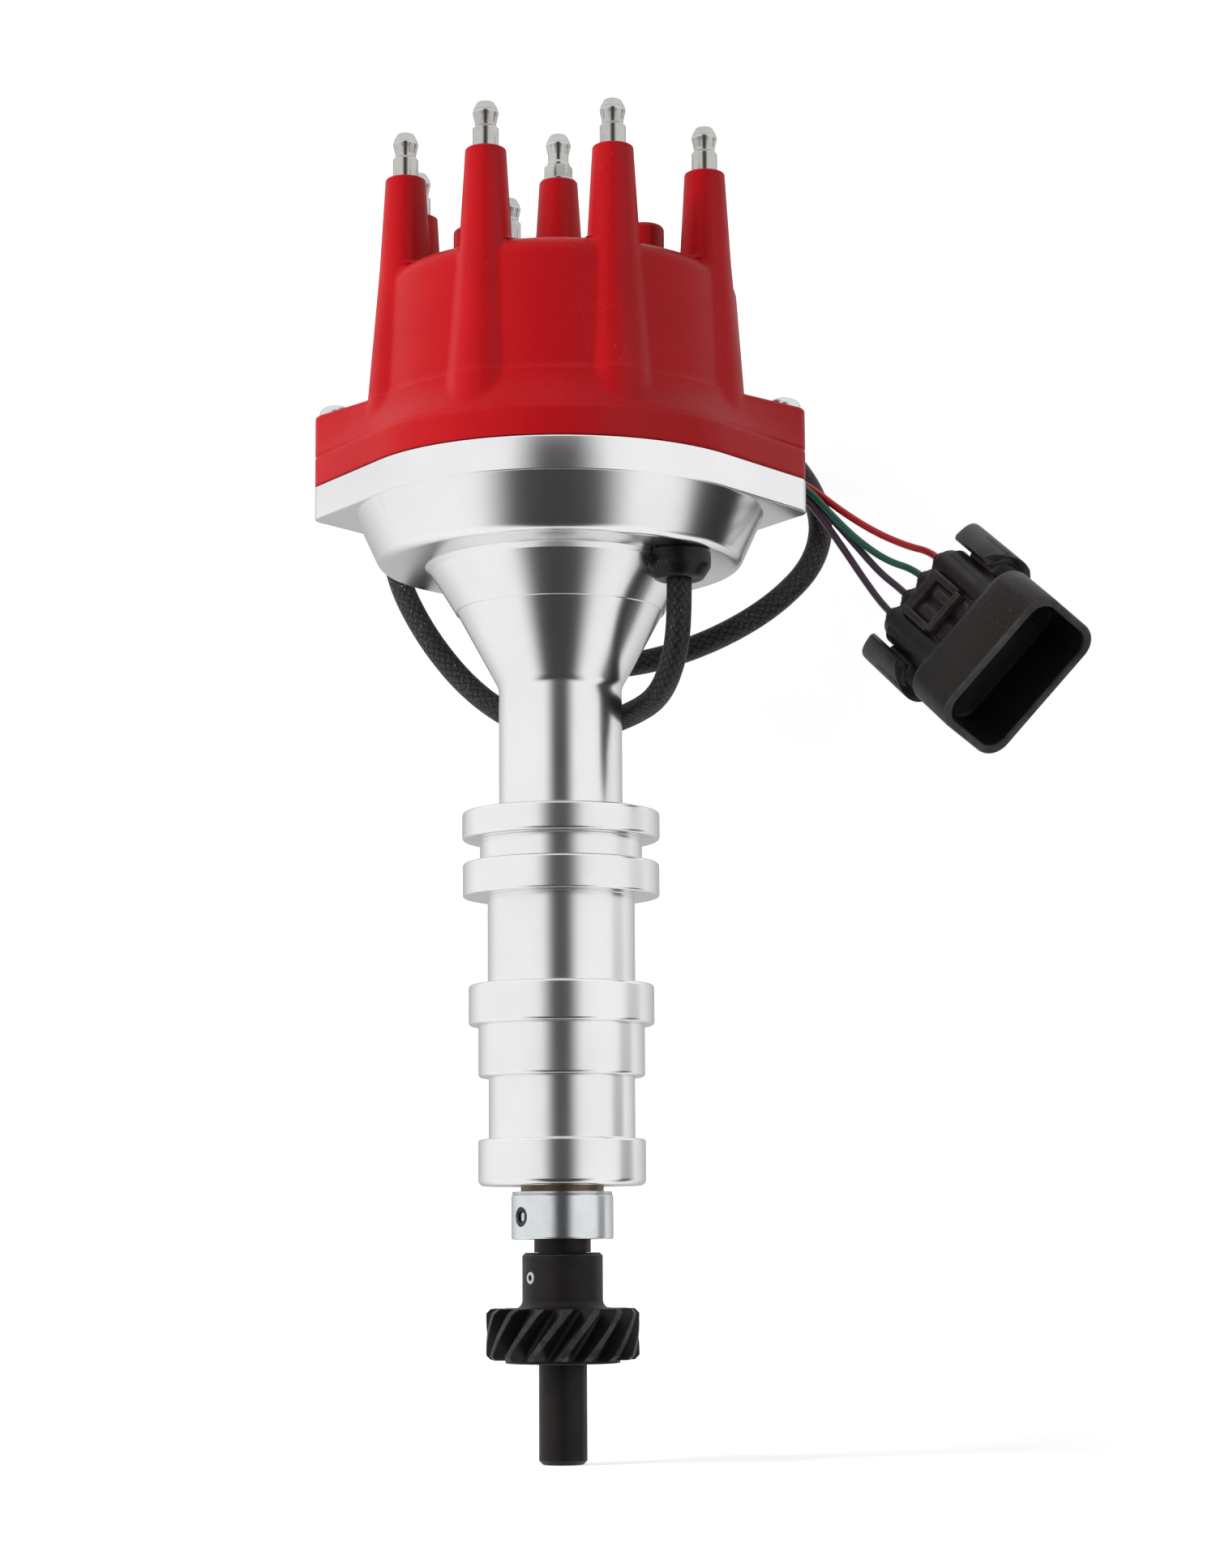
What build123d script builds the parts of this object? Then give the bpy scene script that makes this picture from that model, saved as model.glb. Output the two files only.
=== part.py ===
from build123d import *
import math
import os

# Ignition distributor for a V8 engine, standing upright. Millimetres. Z runs up the shaft, and
# Z = 0 is the underside of the seat ring, which rests on the engine. +X runs through one cap ear.

# Shaft and its drive, from the seat downwards
SHAFT_D = 15.0
TAIL_D = 12.7
TAIL_BELOW_GEAR = 26.15
TAIL_CHAMFER = 1.0
PUMP_HEX = 8.0
PUMP_HEX_DEPTH = 20.0
TEETH = 16
GEAR_D = 40.4
GEAR_ROOT_D = 32.0
TEETH_H = 13.3
TOOTH_LAND = 1.9
TOOTH_FOOT = 4.9
TOOTH_CHAMFER = 1.2
HELIX_TURN = 31.0
GEAR_BOSS_D = 30.3
GEAR_BOSS_H = 0.93
HUB_D = 21.3
HUB_H = 14.6
HUB_FILLET = 2.2
HUB_CHAMFER = 0.8
ROLL_PIN_D = 3.4
ROLL_PIN_UP = 8.0
ROLL_PIN_SUNK = 0.8
COLLAR_GAP = 3.4
COLLAR_D = 27.04
COLLAR_H = 11.8
SET_SCREW_D = 5.0
SET_SCREW_HEX = 2.5
SET_SCREW_SUNK = 0.7
PIN_ANGLE = -141.0
WASHER_D = 26.46
WASHER_H = 0.77
BUSH_LIP_H = 1.37
BUSH_LIP_D = 22.0
RUN_GAP = 0.1

# Housing, from the seat downwards
WAIST_D = 39.5
WAIST_H = 23.55
PILOT_D = 49.66
PILOT_H = 10.87
BAND_D = 44.46
BAND_H = 13.75
OIL_NECK_D = 39.02
OIL_NECK_H = 16.38
FOOT_D = 44.56
FOOT_H = 12.29
EDGE_ROUND = 0.9
FOOT_ROUND = 1.6

# Housing, from the seat upwards
SEAT_D = 52.86
SEAT_H = 9.11
CLAMP_GROOVE_D = 43.6
CLAMP_GROOVE_H = 6.19
GUARD_D = 53.16
GUARD_H = 7.61
COLUMN_D = 33.3
COLUMN_H = 33.95
CONE_MID_D = 55.7
CONE_MID_H = 20.57
CONE_TOP_D = 70.2
CONE_TOP_H = 11.2
COLUMN_BLEND = 5.0
BOWL_STEP = 1.4
BOWL_BASE_D = 98.0
BOWL_SIDE_H = 14.4
BOWL_ROUND = 3.0
BOWL_BORE_D = 94.0
BOWL_FLOOR = 4.0
FLANGE_D = 112.0
FLANGE_T = 9.3
EAR_REACH = 61.5
EAR_TIP_R = 5.6

# Bearings and bores
BORE_CLEAR = 1.6
BUSH_WALL = 2.8
BUSH_LEN = 26.0
FIT_GAP = 0.03
BEARING_D = 35.0
BEARING_W = 11.0
BALL_COUNT = 9
BALL_D = 5.6
RACE_WALL = 3.0
BALL_GAP = 0.03
CAGE_WALL = 1.3
CAGE_W = 7.6
CAGE_GAP = 0.15
CIRCLIP_T = 1.3
CIRCLIP_DEPTH = 0.9
CIRCLIP_WIDTH = 2.4
CIRCLIP_OPENING = 30.0
SEAT_GAP = 0.02

# Sensors and the shutters that pass through them
PLATE_T = 2.5
PLATE_GAP = 0.6
PLATE_BORE_D = 39.0
PLATE_SCREWS = 3
PLATE_SCREW_R = 42.6
PLATE_SCREW_D = 3.0
PLATE_SCREW_HEAD_D = 6.2
PLATE_SCREW_HEAD_H = 2.0
PLATE_SCREW_ANGLE = 50.0
SHUTTER_HUB_D = 22.0
SHUTTER_T = 1.6
SHUTTER_WALL = 1.4
SHUTTER_DROP = 7.5
SHUTTER_SLOT_GAP = 1.0
CRANK_SHUTTER_D = 72.0
CRANK_WINDOWS = 8
CAM_SHUTTER_D = 52.0
CAM_WINDOW = 180.0
SENSOR_POST = 4.6
SENSOR_WIDE = 14.0
SENSOR_BASE_H = 3.6
CRANK_SENSOR_ANGLE = 90.0
CAM_SENSOR_ANGLE = 205.0

# Rotor
ROTOR_PLATE_D = 64.0
ROTOR_PLATE_H = 4.0
ROTOR_HUB_D = 25.0
SPIGOT_D = 12.0
SPIGOT_H = 18.0
ROTOR_ARM_WIDE = 12.0
ROTOR_ARM_H = 6.0
ROTOR_ARM_SHORT = 4.5
ROTOR_WEB = 4.0
ROTOR_RIM = 4.0
ROTOR_WEIGHT_H = 7.0
BLADE_WIDE = 7.0
BLADE_T = 1.5
BLADE_GAP = 0.7
BLADE_TURN = 22.5
SPRING_WIDE = 5.0
SPRING_T = 0.5
SPRING_BOW = 0.3
ROTOR_SCREWS = 2
ROTOR_SCREW_R = 30.0
ROTOR_SCREW_D = 3.0
ROTOR_SCREW_HEAD_D = 5.6
ROTOR_SCREW_HEAD_H = 1.9

# Cap
CAP_BAND_H = 7.8
CAP_EAR_H = 19.55
CAP_TOP_H = 55.8
CAP_WAIST_D = 104.0
CAP_WALL_D = 103.0
CAP_SHOULDER_D = 99.6
CAP_ROUND = 5.6
CAP_BORE_D = 91.0
CAP_ROOF = 4.3
LIP_H = 3.5
LIP_WALL = 2.9
LIP_GAP = 0.1
TOWERS = 8
TOWER_RING_R = 44.0
TOWER_TOP_D = 10.9
TOWER_TAPER = 3.4
TOWER_TOP_H = 81.2
RIB_TAPER = 4.8
COIL_TOWER_D = 10.5
COIL_TOWER_TAPER = 3.7
COIL_TOWER_TOP_H = 85.3
POST_R = 23.5
POST_D = 11.2
POST_H = 16.4
POST_ROUND = 1.4
POST_HOLE_D = 3.3
POST_HOLE_DEPTH = 11.0
TERMINAL_ROD_D = 4.0
TERMINAL_BASE_D = 7.0
TERMINAL_BASE_H = 5.6
TERMINAL_NECK_D = 5.74
TERMINAL_NECK_H = 7.1
TERMINAL_HEAD_D = 7.0
TERMINAL_HEAD_H = 9.9
TERMINAL_TOP_D = 4.4
TERMINAL_STEP = 0.6
TERMINAL_SWELL = 0.3
TERMINAL_BARREL = 1.2
TERMINAL_H = 13.0
COIL_HEX = 7.0
COIL_HEX_H = 3.8
COIL_HEX_TURN = 15.0
COIL_STEP = 0.8
COIL_WASHER_D = 9.2
COIL_WASHER_H = 0.6
ELECTRODE_WIDE = 5.0
ELECTRODE_DEEP = 4.6
ELECTRODE_DROP = 15.0
BUTTON_D = 6.0
BUTTON_H = 9.0
BUTTON_BOSS_D = 13.0
BUTTON_BOSS_H = 5.0
CAP_SCREW_D = 4.8
CAP_SCREW_HEAD_D = 9.0
CAP_SCREW_HEAD_H = 2.6
CAP_SCREW_RECESS = 2.5
EAR_SINK_D = 6.2
EAR_SINK_H = 1.0
SCREW_DRIVE_LONG = 0.55
SCREW_DRIVE_WIDE = 1.2
SCREW_DRIVE_DEEP = 1.0
PAN_ROUND = 0.6

# Harness: grommet, sleeve, breakout, four wires and the plug
GROMMET_R = 39.0
GROMMET_ANGLE = -32.5
GROMMET_D = 17.0
GROMMET_H = 8.0
GROMMET_NECK_D = 12.6
GROMMET_LIP_D = 14.6
GROMMET_LIP_H = 1.8
GROMMET_TIP_D = 12.5
POCKET_D = 19.0
SLEEVE_D = 6.7
BOOT_D = 8.4
BOOT_LEN = 15.0
WIRE_D = 2.0
WIRE_SPREAD = 1.7
WIRE_LEAD = 6.5
PLUG_AT = (102.0, 18.0, 83.0)
PLUG_ROW = (-0.657, 0.195, -0.728)
PLUG_FACE = (-0.640, -0.660, 0.401)
PLUG_PITCH = 6.6
PLUG_W = 43.4
PLUG_H = 25.0
PLUG_L = 50.0
PLUG_WALL = 2.2
PLUG_CORNER = 6.0
PLUG_HOLLOW = 22.0
PLUG_BODY_W = 32.0
PLUG_BODY_H = 17.0
PLUG_BODY_CORNER = 3.6
PLUG_BODY_BACK = 2.0
PLUG_FLARE = 8.0
PLUG_ROW_UP = 4.3
BARREL_D = 9.0
GUARD_LEN = 26.0
GUARD_BACK = 6.0
GUARD_WALL = 2.0
GUARD_CURVE = 10.5
GUARD_PROUD = 2.5
GUARD_SLANT = 35.0
GUARD_WEB = 4.0
SEAL_D = 5.2
SEAL_OUT = 4.0
SEAL_IN = 5.0
PIN_D = 2.5
PIN_SHORT = 6.0
LATCH_W = 14.0
LATCH_L = 16.0
LATCH_H = 2.4
LATCH_SLOT = 1.8

# The sleeve's route, from the grommet to the boot: first forward and down, then behind the column,
# up behind the bowl, over, down past the right ear and in behind the cone for a second turn
SLEEVE_ROUTE = [
    (32.9, -21.0, 70.5), (31.0, -16.2, 60.5), (26.9, -5.8, 53.4), (19.6, 9.5, 51.4),
    (7.0, 24.0, 49.4), (-9.5, 32.6, 50.8), (-26.5, 37.5, 61.7), (-40.9, 41.6, 79.6),
    (-50.7, 46.1, 100.0), (-52.9, 54.0, 124.5), (-40.0, 62.7, 147.9), (-14.1, 68.3, 160.7),
    (15.2, 69.0, 161.9), (43.9, 62.7, 151.5), (63.0, 51.8, 133.5), (72.6, 42.3, 115.0),
    (70.6, 34.6, 98.4), (58.6, 29.0, 84.8), (42.0, 26.5, 74.7), (23.0, 30.0, 69.0),
    (3.5, 37.3, 68.8), (-14.9, 44.2, 79.6), (-26.7, 52.5, 98.0), (-30.5, 61.3, 118.6),
    (-24.0, 68.4, 136.0), (-7.6, 72.4, 146.0), (12.3, 73.0, 146.5),
]

# The wires' routes between the boot and the plug: out behind the cap in a bundle, in front of the
# sleeve's right-hand turn, and apart into the plug
RED_ROUTE = [
    (36.8, 74.8, 148.3), (45.2, 70.5, 143.8), (52.3, 60.1, 136.4), (59.7, 42.7, 126.8),
    (69.3, 33.5, 119.3), (77.0, 30.1, 112.0), (86.7, 26.1, 104.5), (96.0, 22.7, 99.5),
]
GREEN_ROUTE = [
    (36.3, 72.5, 148.3), (43.7, 68.7, 143.8), (50.2, 58.9, 136.4), (57.7, 41.4, 126.8),
    (67.7, 31.8, 119.3), (75.6, 28.7, 109.2), (82.6, 26.1, 101.6), (90.1, 23.8, 95.7),
]
VIOLET_ROUTE = [
    (36.3, 75.0, 145.9), (44.3, 71.3, 141.8), (51.8, 61.1, 134.4), (59.1, 43.7, 124.7),
    (68.5, 34.4, 117.2), (75.4, 31.4, 109.3), (81.8, 28.4, 100.9), (87.9, 25.4, 92.8),
]
TRACER_ROUTE = [
    (35.8, 72.6, 145.9), (42.8, 69.5, 141.8), (49.7, 59.9, 134.4), (57.1, 42.3, 124.7),
    (66.8, 32.6, 117.2), (72.5, 30.8, 109.2), (77.9, 28.8, 100.6), (83.4, 26.6, 91.3),
]

# Levels worked out from the sizes above
Z_WAIST = -WAIST_H
Z_PILOT = Z_WAIST - PILOT_H
Z_BAND = Z_PILOT - BAND_H
Z_NECK = Z_BAND - OIL_NECK_H
Z_FOOT = Z_NECK - FOOT_H
Z_GROOVE = SEAT_H
Z_GUARD = Z_GROOVE + CLAMP_GROOVE_H
Z_COLUMN = Z_GUARD + GUARD_H
Z_CONE = Z_COLUMN + COLUMN_H
Z_CONE_MID = Z_CONE + CONE_MID_H
Z_CONE_TOP = Z_CONE_MID + CONE_TOP_H
Z_BOWL = Z_CONE_TOP + BOWL_STEP
Z_FLANGE = Z_BOWL + BOWL_SIDE_H
Z_RIM = Z_FLANGE + FLANGE_T
Z_FLOOR = Z_BOWL + BOWL_FLOOR
Z_CIRCLIP = Z_FLOOR - CIRCLIP_T - 1.0
Z_BEARING = Z_CIRCLIP - BEARING_W
Z_BUSH_LIP = Z_FOOT - BUSH_LIP_H
Z_WASHER = Z_BUSH_LIP - RUN_GAP - WASHER_H
Z_COLLAR = Z_WASHER - COLLAR_H
Z_HUB = Z_COLLAR - COLLAR_GAP
Z_TEETH_TOP = Z_HUB - HUB_H
Z_TEETH = Z_TEETH_TOP - TEETH_H
Z_GEAR = Z_TEETH - GEAR_BOSS_H
Z_TAIL = Z_GEAR - TAIL_BELOW_GEAR
Z_PLATE = Z_FLOOR + PLATE_T
Z_SLOT = Z_PLATE + SENSOR_BASE_H
Z_VANE = Z_SLOT + SHUTTER_SLOT_GAP
Z_SHUTTER = Z_VANE + SHUTTER_DROP
Z_ROTOR = Z_SHUTTER + SHUTTER_T
Z_ROTOR_PLATE = Z_ROTOR + ROTOR_PLATE_H
Z_SPIGOT = Z_ROTOR + SPIGOT_H
Z_CAP_BAND = Z_RIM + CAP_BAND_H
Z_CAP_EAR = Z_RIM + CAP_EAR_H
Z_CAP_TOP = Z_RIM + CAP_TOP_H
Z_ROOF = Z_CAP_TOP - CAP_ROOF
Z_TOWER = Z_RIM + TOWER_TOP_H
Z_COIL_TOWER = Z_RIM + COIL_TOWER_TOP_H
Z_ELECTRODE = Z_ROOF - ELECTRODE_DROP
Z_BUTTON = Z_ROOF - BUTTON_H
Z_BLADE = Z_ELECTRODE + 2.0
R_BLADE = TOWER_RING_R - ELECTRODE_DEEP / 2 - BLADE_GAP
R_BALLS = (BEARING_D + SHAFT_D) / 4


def turned(*points):
    """Solid turned about Z from the (radius, height) points of half its section."""
    section = Polyline(*[(r, 0, z) for r, z in points], close=True)
    return revolve(make_face(section), Axis.Z)


def turned_round(points, radii):
    """Solid turned about Z whose section corners carry the given radii, 0 for a sharp corner."""
    section = FilletPolyline(*[(r, 0, z) for r, z in points], radius=radii, close=True)
    return revolve(make_face(section), Axis.Z)


def rod(diameter, bottom, top, x=0.0, y=0.0):
    """Upright cylinder between two heights."""
    standing = (Align.CENTER, Align.CENTER, Align.MIN)
    return Pos(x, y, bottom) * Cylinder(diameter / 2, top - bottom, align=standing)


def tube(outer, inner, bottom, top):
    """Upright ring between two heights."""
    return rod(outer, bottom, top) - rod(inner, bottom, top)


def around(count, first=0.0):
    """Angles of an even pattern about Z."""
    return [first + 360 * i / count for i in range(count)]


def eared(diameter, level):
    """Flange outline at a height: a round plate with a tapered ear at each end of X."""
    arcs = Circle(diameter / 2).edges()
    for side in (-1, 1):
        arcs += (Pos(side * EAR_REACH, 0) * Circle(EAR_TIP_R)).edges()
    return Pos(0, 0, level) * make_hull(arcs)


def grommet_spot():
    """Place of the harness exit on the bowl floor."""
    angle = math.radians(GROMMET_ANGLE)
    return GROMMET_R * math.cos(angle), GROMMET_R * math.sin(angle)


def housing():
    """Turned body: pilots, seat, clamp groove, column, cone and the eared bowl."""
    foot = FOOT_D / 2
    outline = [
        (0, Z_FOOT), (foot, Z_FOOT), (foot, Z_NECK), (OIL_NECK_D / 2, Z_NECK),
        (OIL_NECK_D / 2, Z_BAND), (BAND_D / 2, Z_BAND), (BAND_D / 2, Z_PILOT),
        (PILOT_D / 2, Z_PILOT), (PILOT_D / 2, Z_WAIST), (WAIST_D / 2, Z_WAIST),
        (WAIST_D / 2, 0), (SEAT_D / 2, 0), (SEAT_D / 2, Z_GROOVE), (CLAMP_GROOVE_D / 2, Z_GROOVE),
        (CLAMP_GROOVE_D / 2, Z_GUARD), (GUARD_D / 2, Z_GUARD), (GUARD_D / 2, Z_COLUMN),
        (COLUMN_D / 2, Z_COLUMN), (COLUMN_D / 2, Z_CONE), (CONE_MID_D / 2, Z_CONE_MID),
        (CONE_TOP_D / 2, Z_CONE_TOP), (CONE_TOP_D / 2 + BOWL_STEP, Z_BOWL), (BOWL_BASE_D / 2, Z_BOWL),
        (FLANGE_D / 2, Z_FLANGE), (FLANGE_D / 2, Z_RIM), (0, Z_RIM),
    ]
    edge = EDGE_ROUND
    radii = [
        0, FOOT_ROUND, edge, 0, 0, edge, 0, edge, edge, 0, 0, edge, edge, 0, 0, edge, edge,
        0, COLUMN_BLEND, 0, 0, 0, BOWL_ROUND, 0, 0, 0,
    ]
    body = turned_round(outline, radii)
    body += extrude(eared(FLANGE_D, Z_FLANGE), FLANGE_T)
    body -= rod(BOWL_BORE_D, Z_FLOOR, Z_RIM)
    body -= rod(SHAFT_D + 2 * BORE_CLEAR, Z_FOOT, Z_FLOOR)
    body -= rod(SHAFT_D + 2 * BUSH_WALL, Z_FOOT, Z_FOOT + BUSH_LEN)
    body -= rod(BEARING_D, Z_BEARING, Z_FLOOR)
    body -= rod(BEARING_D + 2 * CIRCLIP_DEPTH, Z_CIRCLIP, Z_CIRCLIP + CIRCLIP_T)
    gx, gy = grommet_spot()
    body -= rod(POCKET_D, Z_CONE, Z_BOWL, gx, gy)
    body -= rod(GROMMET_NECK_D, Z_BOWL, Z_FLOOR, gx, gy)
    for side in (-1, 1):
        ear = side * EAR_REACH
        body -= rod(CAP_SCREW_D, Z_FLANGE, Z_RIM, ear)
        body -= Pos(ear, 0, Z_FLANGE + EAR_SINK_H / 2) * Cone(EAR_SINK_D / 2, CAP_SCREW_D / 2, EAR_SINK_H)
    for angle in around(PLATE_SCREWS, PLATE_SCREW_ANGLE):
        body -= Rot(0, 0, angle) * rod(PLATE_SCREW_D, Z_FLOOR - BOWL_FLOOR / 2, Z_FLOOR, PLATE_SCREW_R)
    return body


def lower_bushing():
    """Plain bronze bush whose lip takes the thrust washer."""
    bore = SHAFT_D + 2 * FIT_GAP
    bush = tube(SHAFT_D + 2 * BUSH_WALL, bore, Z_FOOT, Z_FOOT + BUSH_LEN)
    return bush + tube(BUSH_LIP_D, bore, Z_BUSH_LIP, Z_FOOT)


def race_groove():
    """Ring that the balls run in, with their running gap."""
    return Pos(0, 0, Z_BEARING + BEARING_W / 2) * Torus(R_BALLS, BALL_D / 2 + BALL_GAP)


def upper_bearing_outer_race():
    """Outer ring of the ball bearing, pressed into the housing."""
    return tube(BEARING_D, BEARING_D - 2 * RACE_WALL, Z_BEARING, Z_CIRCLIP) - race_groove()


def upper_bearing_inner_race():
    """Inner ring of the ball bearing, on the shaft."""
    return tube(SHAFT_D + 2 * RACE_WALL, SHAFT_D, Z_BEARING, Z_CIRCLIP) - race_groove()


def bearing_balls():
    """The balls, as separate solids."""
    level = Z_BEARING + BEARING_W / 2
    return [Rot(0, 0, a) * Pos(R_BALLS, 0, level) * Sphere(BALL_D / 2) for a in around(BALL_COUNT)]


def ball_cage():
    """Band that spaces the balls, with a pocket for each."""
    level = Z_BEARING + BEARING_W / 2
    mid = 2 * R_BALLS
    cage = tube(mid + CAGE_WALL, mid - CAGE_WALL, level - CAGE_W / 2, level + CAGE_W / 2)
    pocket = Pos(R_BALLS, 0, level) * Rot(0, 90, 0) * Cylinder(BALL_D / 2 + CAGE_GAP, BALL_D)
    for angle in around(BALL_COUNT):
        cage -= Rot(0, 0, angle) * pocket
    return cage


def bearing_circlip():
    """Open spring ring that holds the bearing in its pocket."""
    outer = BEARING_D + 2 * CIRCLIP_DEPTH - 2 * SEAT_GAP
    ring = tube(outer, outer - 2 * CIRCLIP_WIDTH, Z_CIRCLIP, Z_CIRCLIP + CIRCLIP_T)
    opening = outer * math.sin(math.radians(CIRCLIP_OPENING / 2))
    return ring - Pos(0, outer / 2, Z_CIRCLIP + CIRCLIP_T / 2) * Box(opening, outer, CIRCLIP_T)


def sensor_plate():
    """Round plate on the bowl floor that carries both sensors."""
    gx, gy = grommet_spot()
    plate = tube(BOWL_BORE_D - 2 * PLATE_GAP, PLATE_BORE_D, Z_FLOOR, Z_PLATE)
    plate -= rod(GROMMET_LIP_D + 2 * PLATE_GAP, Z_FLOOR, Z_PLATE, gx, gy)
    for angle in around(PLATE_SCREWS, PLATE_SCREW_ANGLE):
        plate -= Rot(0, 0, angle) * rod(PLATE_SCREW_D, Z_FLOOR, Z_PLATE, PLATE_SCREW_R)
    return plate


def pan_screw(shank, head, head_h, foot, seat):
    """Pan-head screw standing on Z, seated at a height, with a crossed driver recess."""
    top = seat + head_h
    dome = turned_round(
        [(0, seat), (head / 2, seat), (head / 2, top), (0, top)], [0, 0, head_h * PAN_ROUND, 0],
    )
    slot = Box(head * SCREW_DRIVE_LONG, SCREW_DRIVE_WIDE, SCREW_DRIVE_DEEP)
    cross = Pos(0, 0, top - SCREW_DRIVE_DEEP / 2) * (slot + Rot(0, 0, 90) * slot)
    return rod(shank, foot, seat) + dome - cross


def sensor_plate_screws():
    """Screws of the sensor plate."""
    tip = Z_FLOOR - BOWL_FLOOR / 2
    one = pan_screw(PLATE_SCREW_D, PLATE_SCREW_HEAD_D, PLATE_SCREW_HEAD_H, tip, Z_PLATE)
    angles = around(PLATE_SCREWS, PLATE_SCREW_ANGLE)
    return [Rot(0, 0, a) * Pos(PLATE_SCREW_R, 0, 0) * one for a in angles]


def slot_sensor(shutter_d, disc_level, angle):
    """Sensor block under a shutter's disc, with a slot that the skirt runs through."""
    inner = shutter_d / 2 - SHUTTER_WALL - SHUTTER_SLOT_GAP
    outer = shutter_d / 2 + SHUTTER_SLOT_GAP
    deep = outer - inner + 2 * SENSOR_POST
    mid = (outer + inner) / 2
    top = disc_level - SHUTTER_SLOT_GAP
    block = Pos(mid, 0, (Z_PLATE + top) / 2) * Box(deep, SENSOR_WIDE, top - Z_PLATE)
    return Rot(0, 0, angle) * (block - tube(2 * outer, 2 * inner, Z_SLOT, top))


def crank_sensor():
    """Sensor that reads the eight windows."""
    return slot_sensor(CRANK_SHUTTER_D, Z_SHUTTER, CRANK_SENSOR_ANGLE)


def cam_sensor():
    """Sensor that reads the single half-turn window."""
    return slot_sensor(CAM_SHUTTER_D, Z_SHUTTER - SHUTTER_T, CAM_SENSOR_ANGLE)


def shutter_skirt(diameter):
    """Thin ring that hangs from the shutter disc."""
    return tube(diameter, diameter - 2 * SHUTTER_WALL, Z_VANE, Z_SHUTTER)


def crank_shutter():
    """Hub and disc with a skirt of eight vanes."""
    wheel = tube(CRANK_SHUTTER_D, SHAFT_D, Z_SHUTTER, Z_ROTOR)
    wheel += tube(SHUTTER_HUB_D, SHAFT_D, Z_VANE, Z_SHUTTER)
    skirt = shutter_skirt(CRANK_SHUTTER_D)
    gap = CRANK_SHUTTER_D * math.sin(math.radians(90 / CRANK_WINDOWS))
    window = Box(4 * SHUTTER_WALL, gap, SHUTTER_DROP)
    window = Pos(CRANK_SHUTTER_D / 2, 0, (Z_VANE + Z_SHUTTER) / 2) * window
    for angle in around(CRANK_WINDOWS):
        skirt -= Rot(0, 0, angle) * window
    for angle in around(ROTOR_SCREWS, 90):
        wheel -= Rot(0, 0, angle) * rod(ROTOR_SCREW_D, Z_SHUTTER, Z_ROTOR, ROTOR_SCREW_R)
    return wheel + skirt


def cam_shutter():
    """Smaller cup under the disc, with a skirt over half a turn."""
    disc = tube(CAM_SHUTTER_D, SHUTTER_HUB_D, Z_SHUTTER - SHUTTER_T, Z_SHUTTER)
    half = Box(CAM_SHUTTER_D, CAM_SHUTTER_D, SHUTTER_DROP)
    half = Pos(0, CAM_SHUTTER_D / 2, (Z_VANE + Z_SHUTTER) / 2) * half
    skirt = tube(CAM_SHUTTER_D, CAM_SHUTTER_D - 2 * SHUTTER_WALL, Z_VANE, Z_SHUTTER - SHUTTER_T)
    return disc + (skirt - Rot(0, 0, CAM_WINDOW) * half)


def main_shaft():
    """Stepped shaft: spigot, journals, tail for the gear and the hexagon for the oil pump drive."""
    tail, journal, spigot = TAIL_D / 2, SHAFT_D / 2, SPIGOT_D / 2
    bevel = TAIL_CHAMFER
    shaft = turned(
        (0, Z_TAIL), (tail - bevel, Z_TAIL), (tail, Z_TAIL + bevel), (tail, Z_HUB), (journal, Z_HUB),
        (journal, Z_ROTOR), (spigot, Z_ROTOR), (spigot, Z_SPIGOT - bevel),
        (spigot - bevel, Z_SPIGOT), (0, Z_SPIGOT),
    )
    hexagon = RegularPolygon(PUMP_HEX / 2, 6, major_radius=False)
    shaft -= Pos(0, 0, Z_TAIL) * extrude(hexagon, PUMP_HEX_DEPTH)
    shaft -= cross_rod(ROLL_PIN_D, Z_TEETH_TOP + ROLL_PIN_UP, TAIL_D)
    return shaft


def cross_rod(diameter, level, reach):
    """Cross rod through the shaft line at the pin angle."""
    return Rot(0, 0, PIN_ANGLE) * Pos(0, 0, level) * Rot(0, 90, 0) * Cylinder(diameter / 2, reach)


def gear_roll_pin():
    """Pin that drives the gear, flush with the hub."""
    level = Z_TEETH_TOP + ROLL_PIN_UP
    return cross_rod(ROLL_PIN_D, level, HUB_D - ROLL_PIN_SUNK) - cross_rod(ROLL_PIN_D / 2, level, HUB_D)


def drive_gear():
    """Helical gear with sixteen right-hand teeth, chamfered at both ends, and a pinned hub."""
    root, tip = GEAR_ROOT_D / 2, GEAR_D / 2
    inner = root * math.cos(math.asin(TOOTH_FOOT / GEAR_ROOT_D))
    past = tip + TOOTH_CHAMFER
    narrow = TOOTH_LAND / 2 - (TOOTH_FOOT - TOOTH_LAND) / 2 * TOOTH_CHAMFER / (tip - inner)
    tooth = make_face(Polyline(
        (inner, -TOOTH_FOOT / 2), (past, -narrow), (past, narrow), (inner, TOOTH_FOOT / 2), close=True,
    ))
    section = Circle(root)
    for angle in around(TEETH):
        section += Rot(0, 0, angle) * tooth
    rim = Solid.extrude_linear_with_rotation(section.face(), (0, 0, 0), (0, 0, TEETH_H), HELIX_TURN)
    bevel = TOOTH_CHAMFER
    envelope = turned(
        (0, Z_TEETH), (tip - bevel, Z_TEETH), (tip, Z_TEETH + bevel), (tip, Z_TEETH_TOP - bevel),
        (tip - bevel, Z_TEETH_TOP), (0, Z_TEETH_TOP),
    )
    gear = Pos(0, 0, Z_TEETH) * rim & envelope
    hub, foot = HUB_D / 2, HUB_FILLET
    gear += turned_round(
        [(0, Z_TEETH_TOP - foot), (hub + 2 * foot, Z_TEETH_TOP - foot), (hub + 2 * foot, Z_TEETH_TOP),
         (hub, Z_TEETH_TOP), (hub, Z_HUB), (0, Z_HUB)],
        [0, 0, 0, foot, HUB_CHAMFER, 0],
    )
    gear += rod(GEAR_BOSS_D, Z_GEAR, Z_TEETH)
    gear -= rod(TAIL_D, Z_GEAR, Z_HUB)
    return gear - cross_rod(ROLL_PIN_D, Z_TEETH_TOP + ROLL_PIN_UP, 2 * HUB_D)


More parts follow.
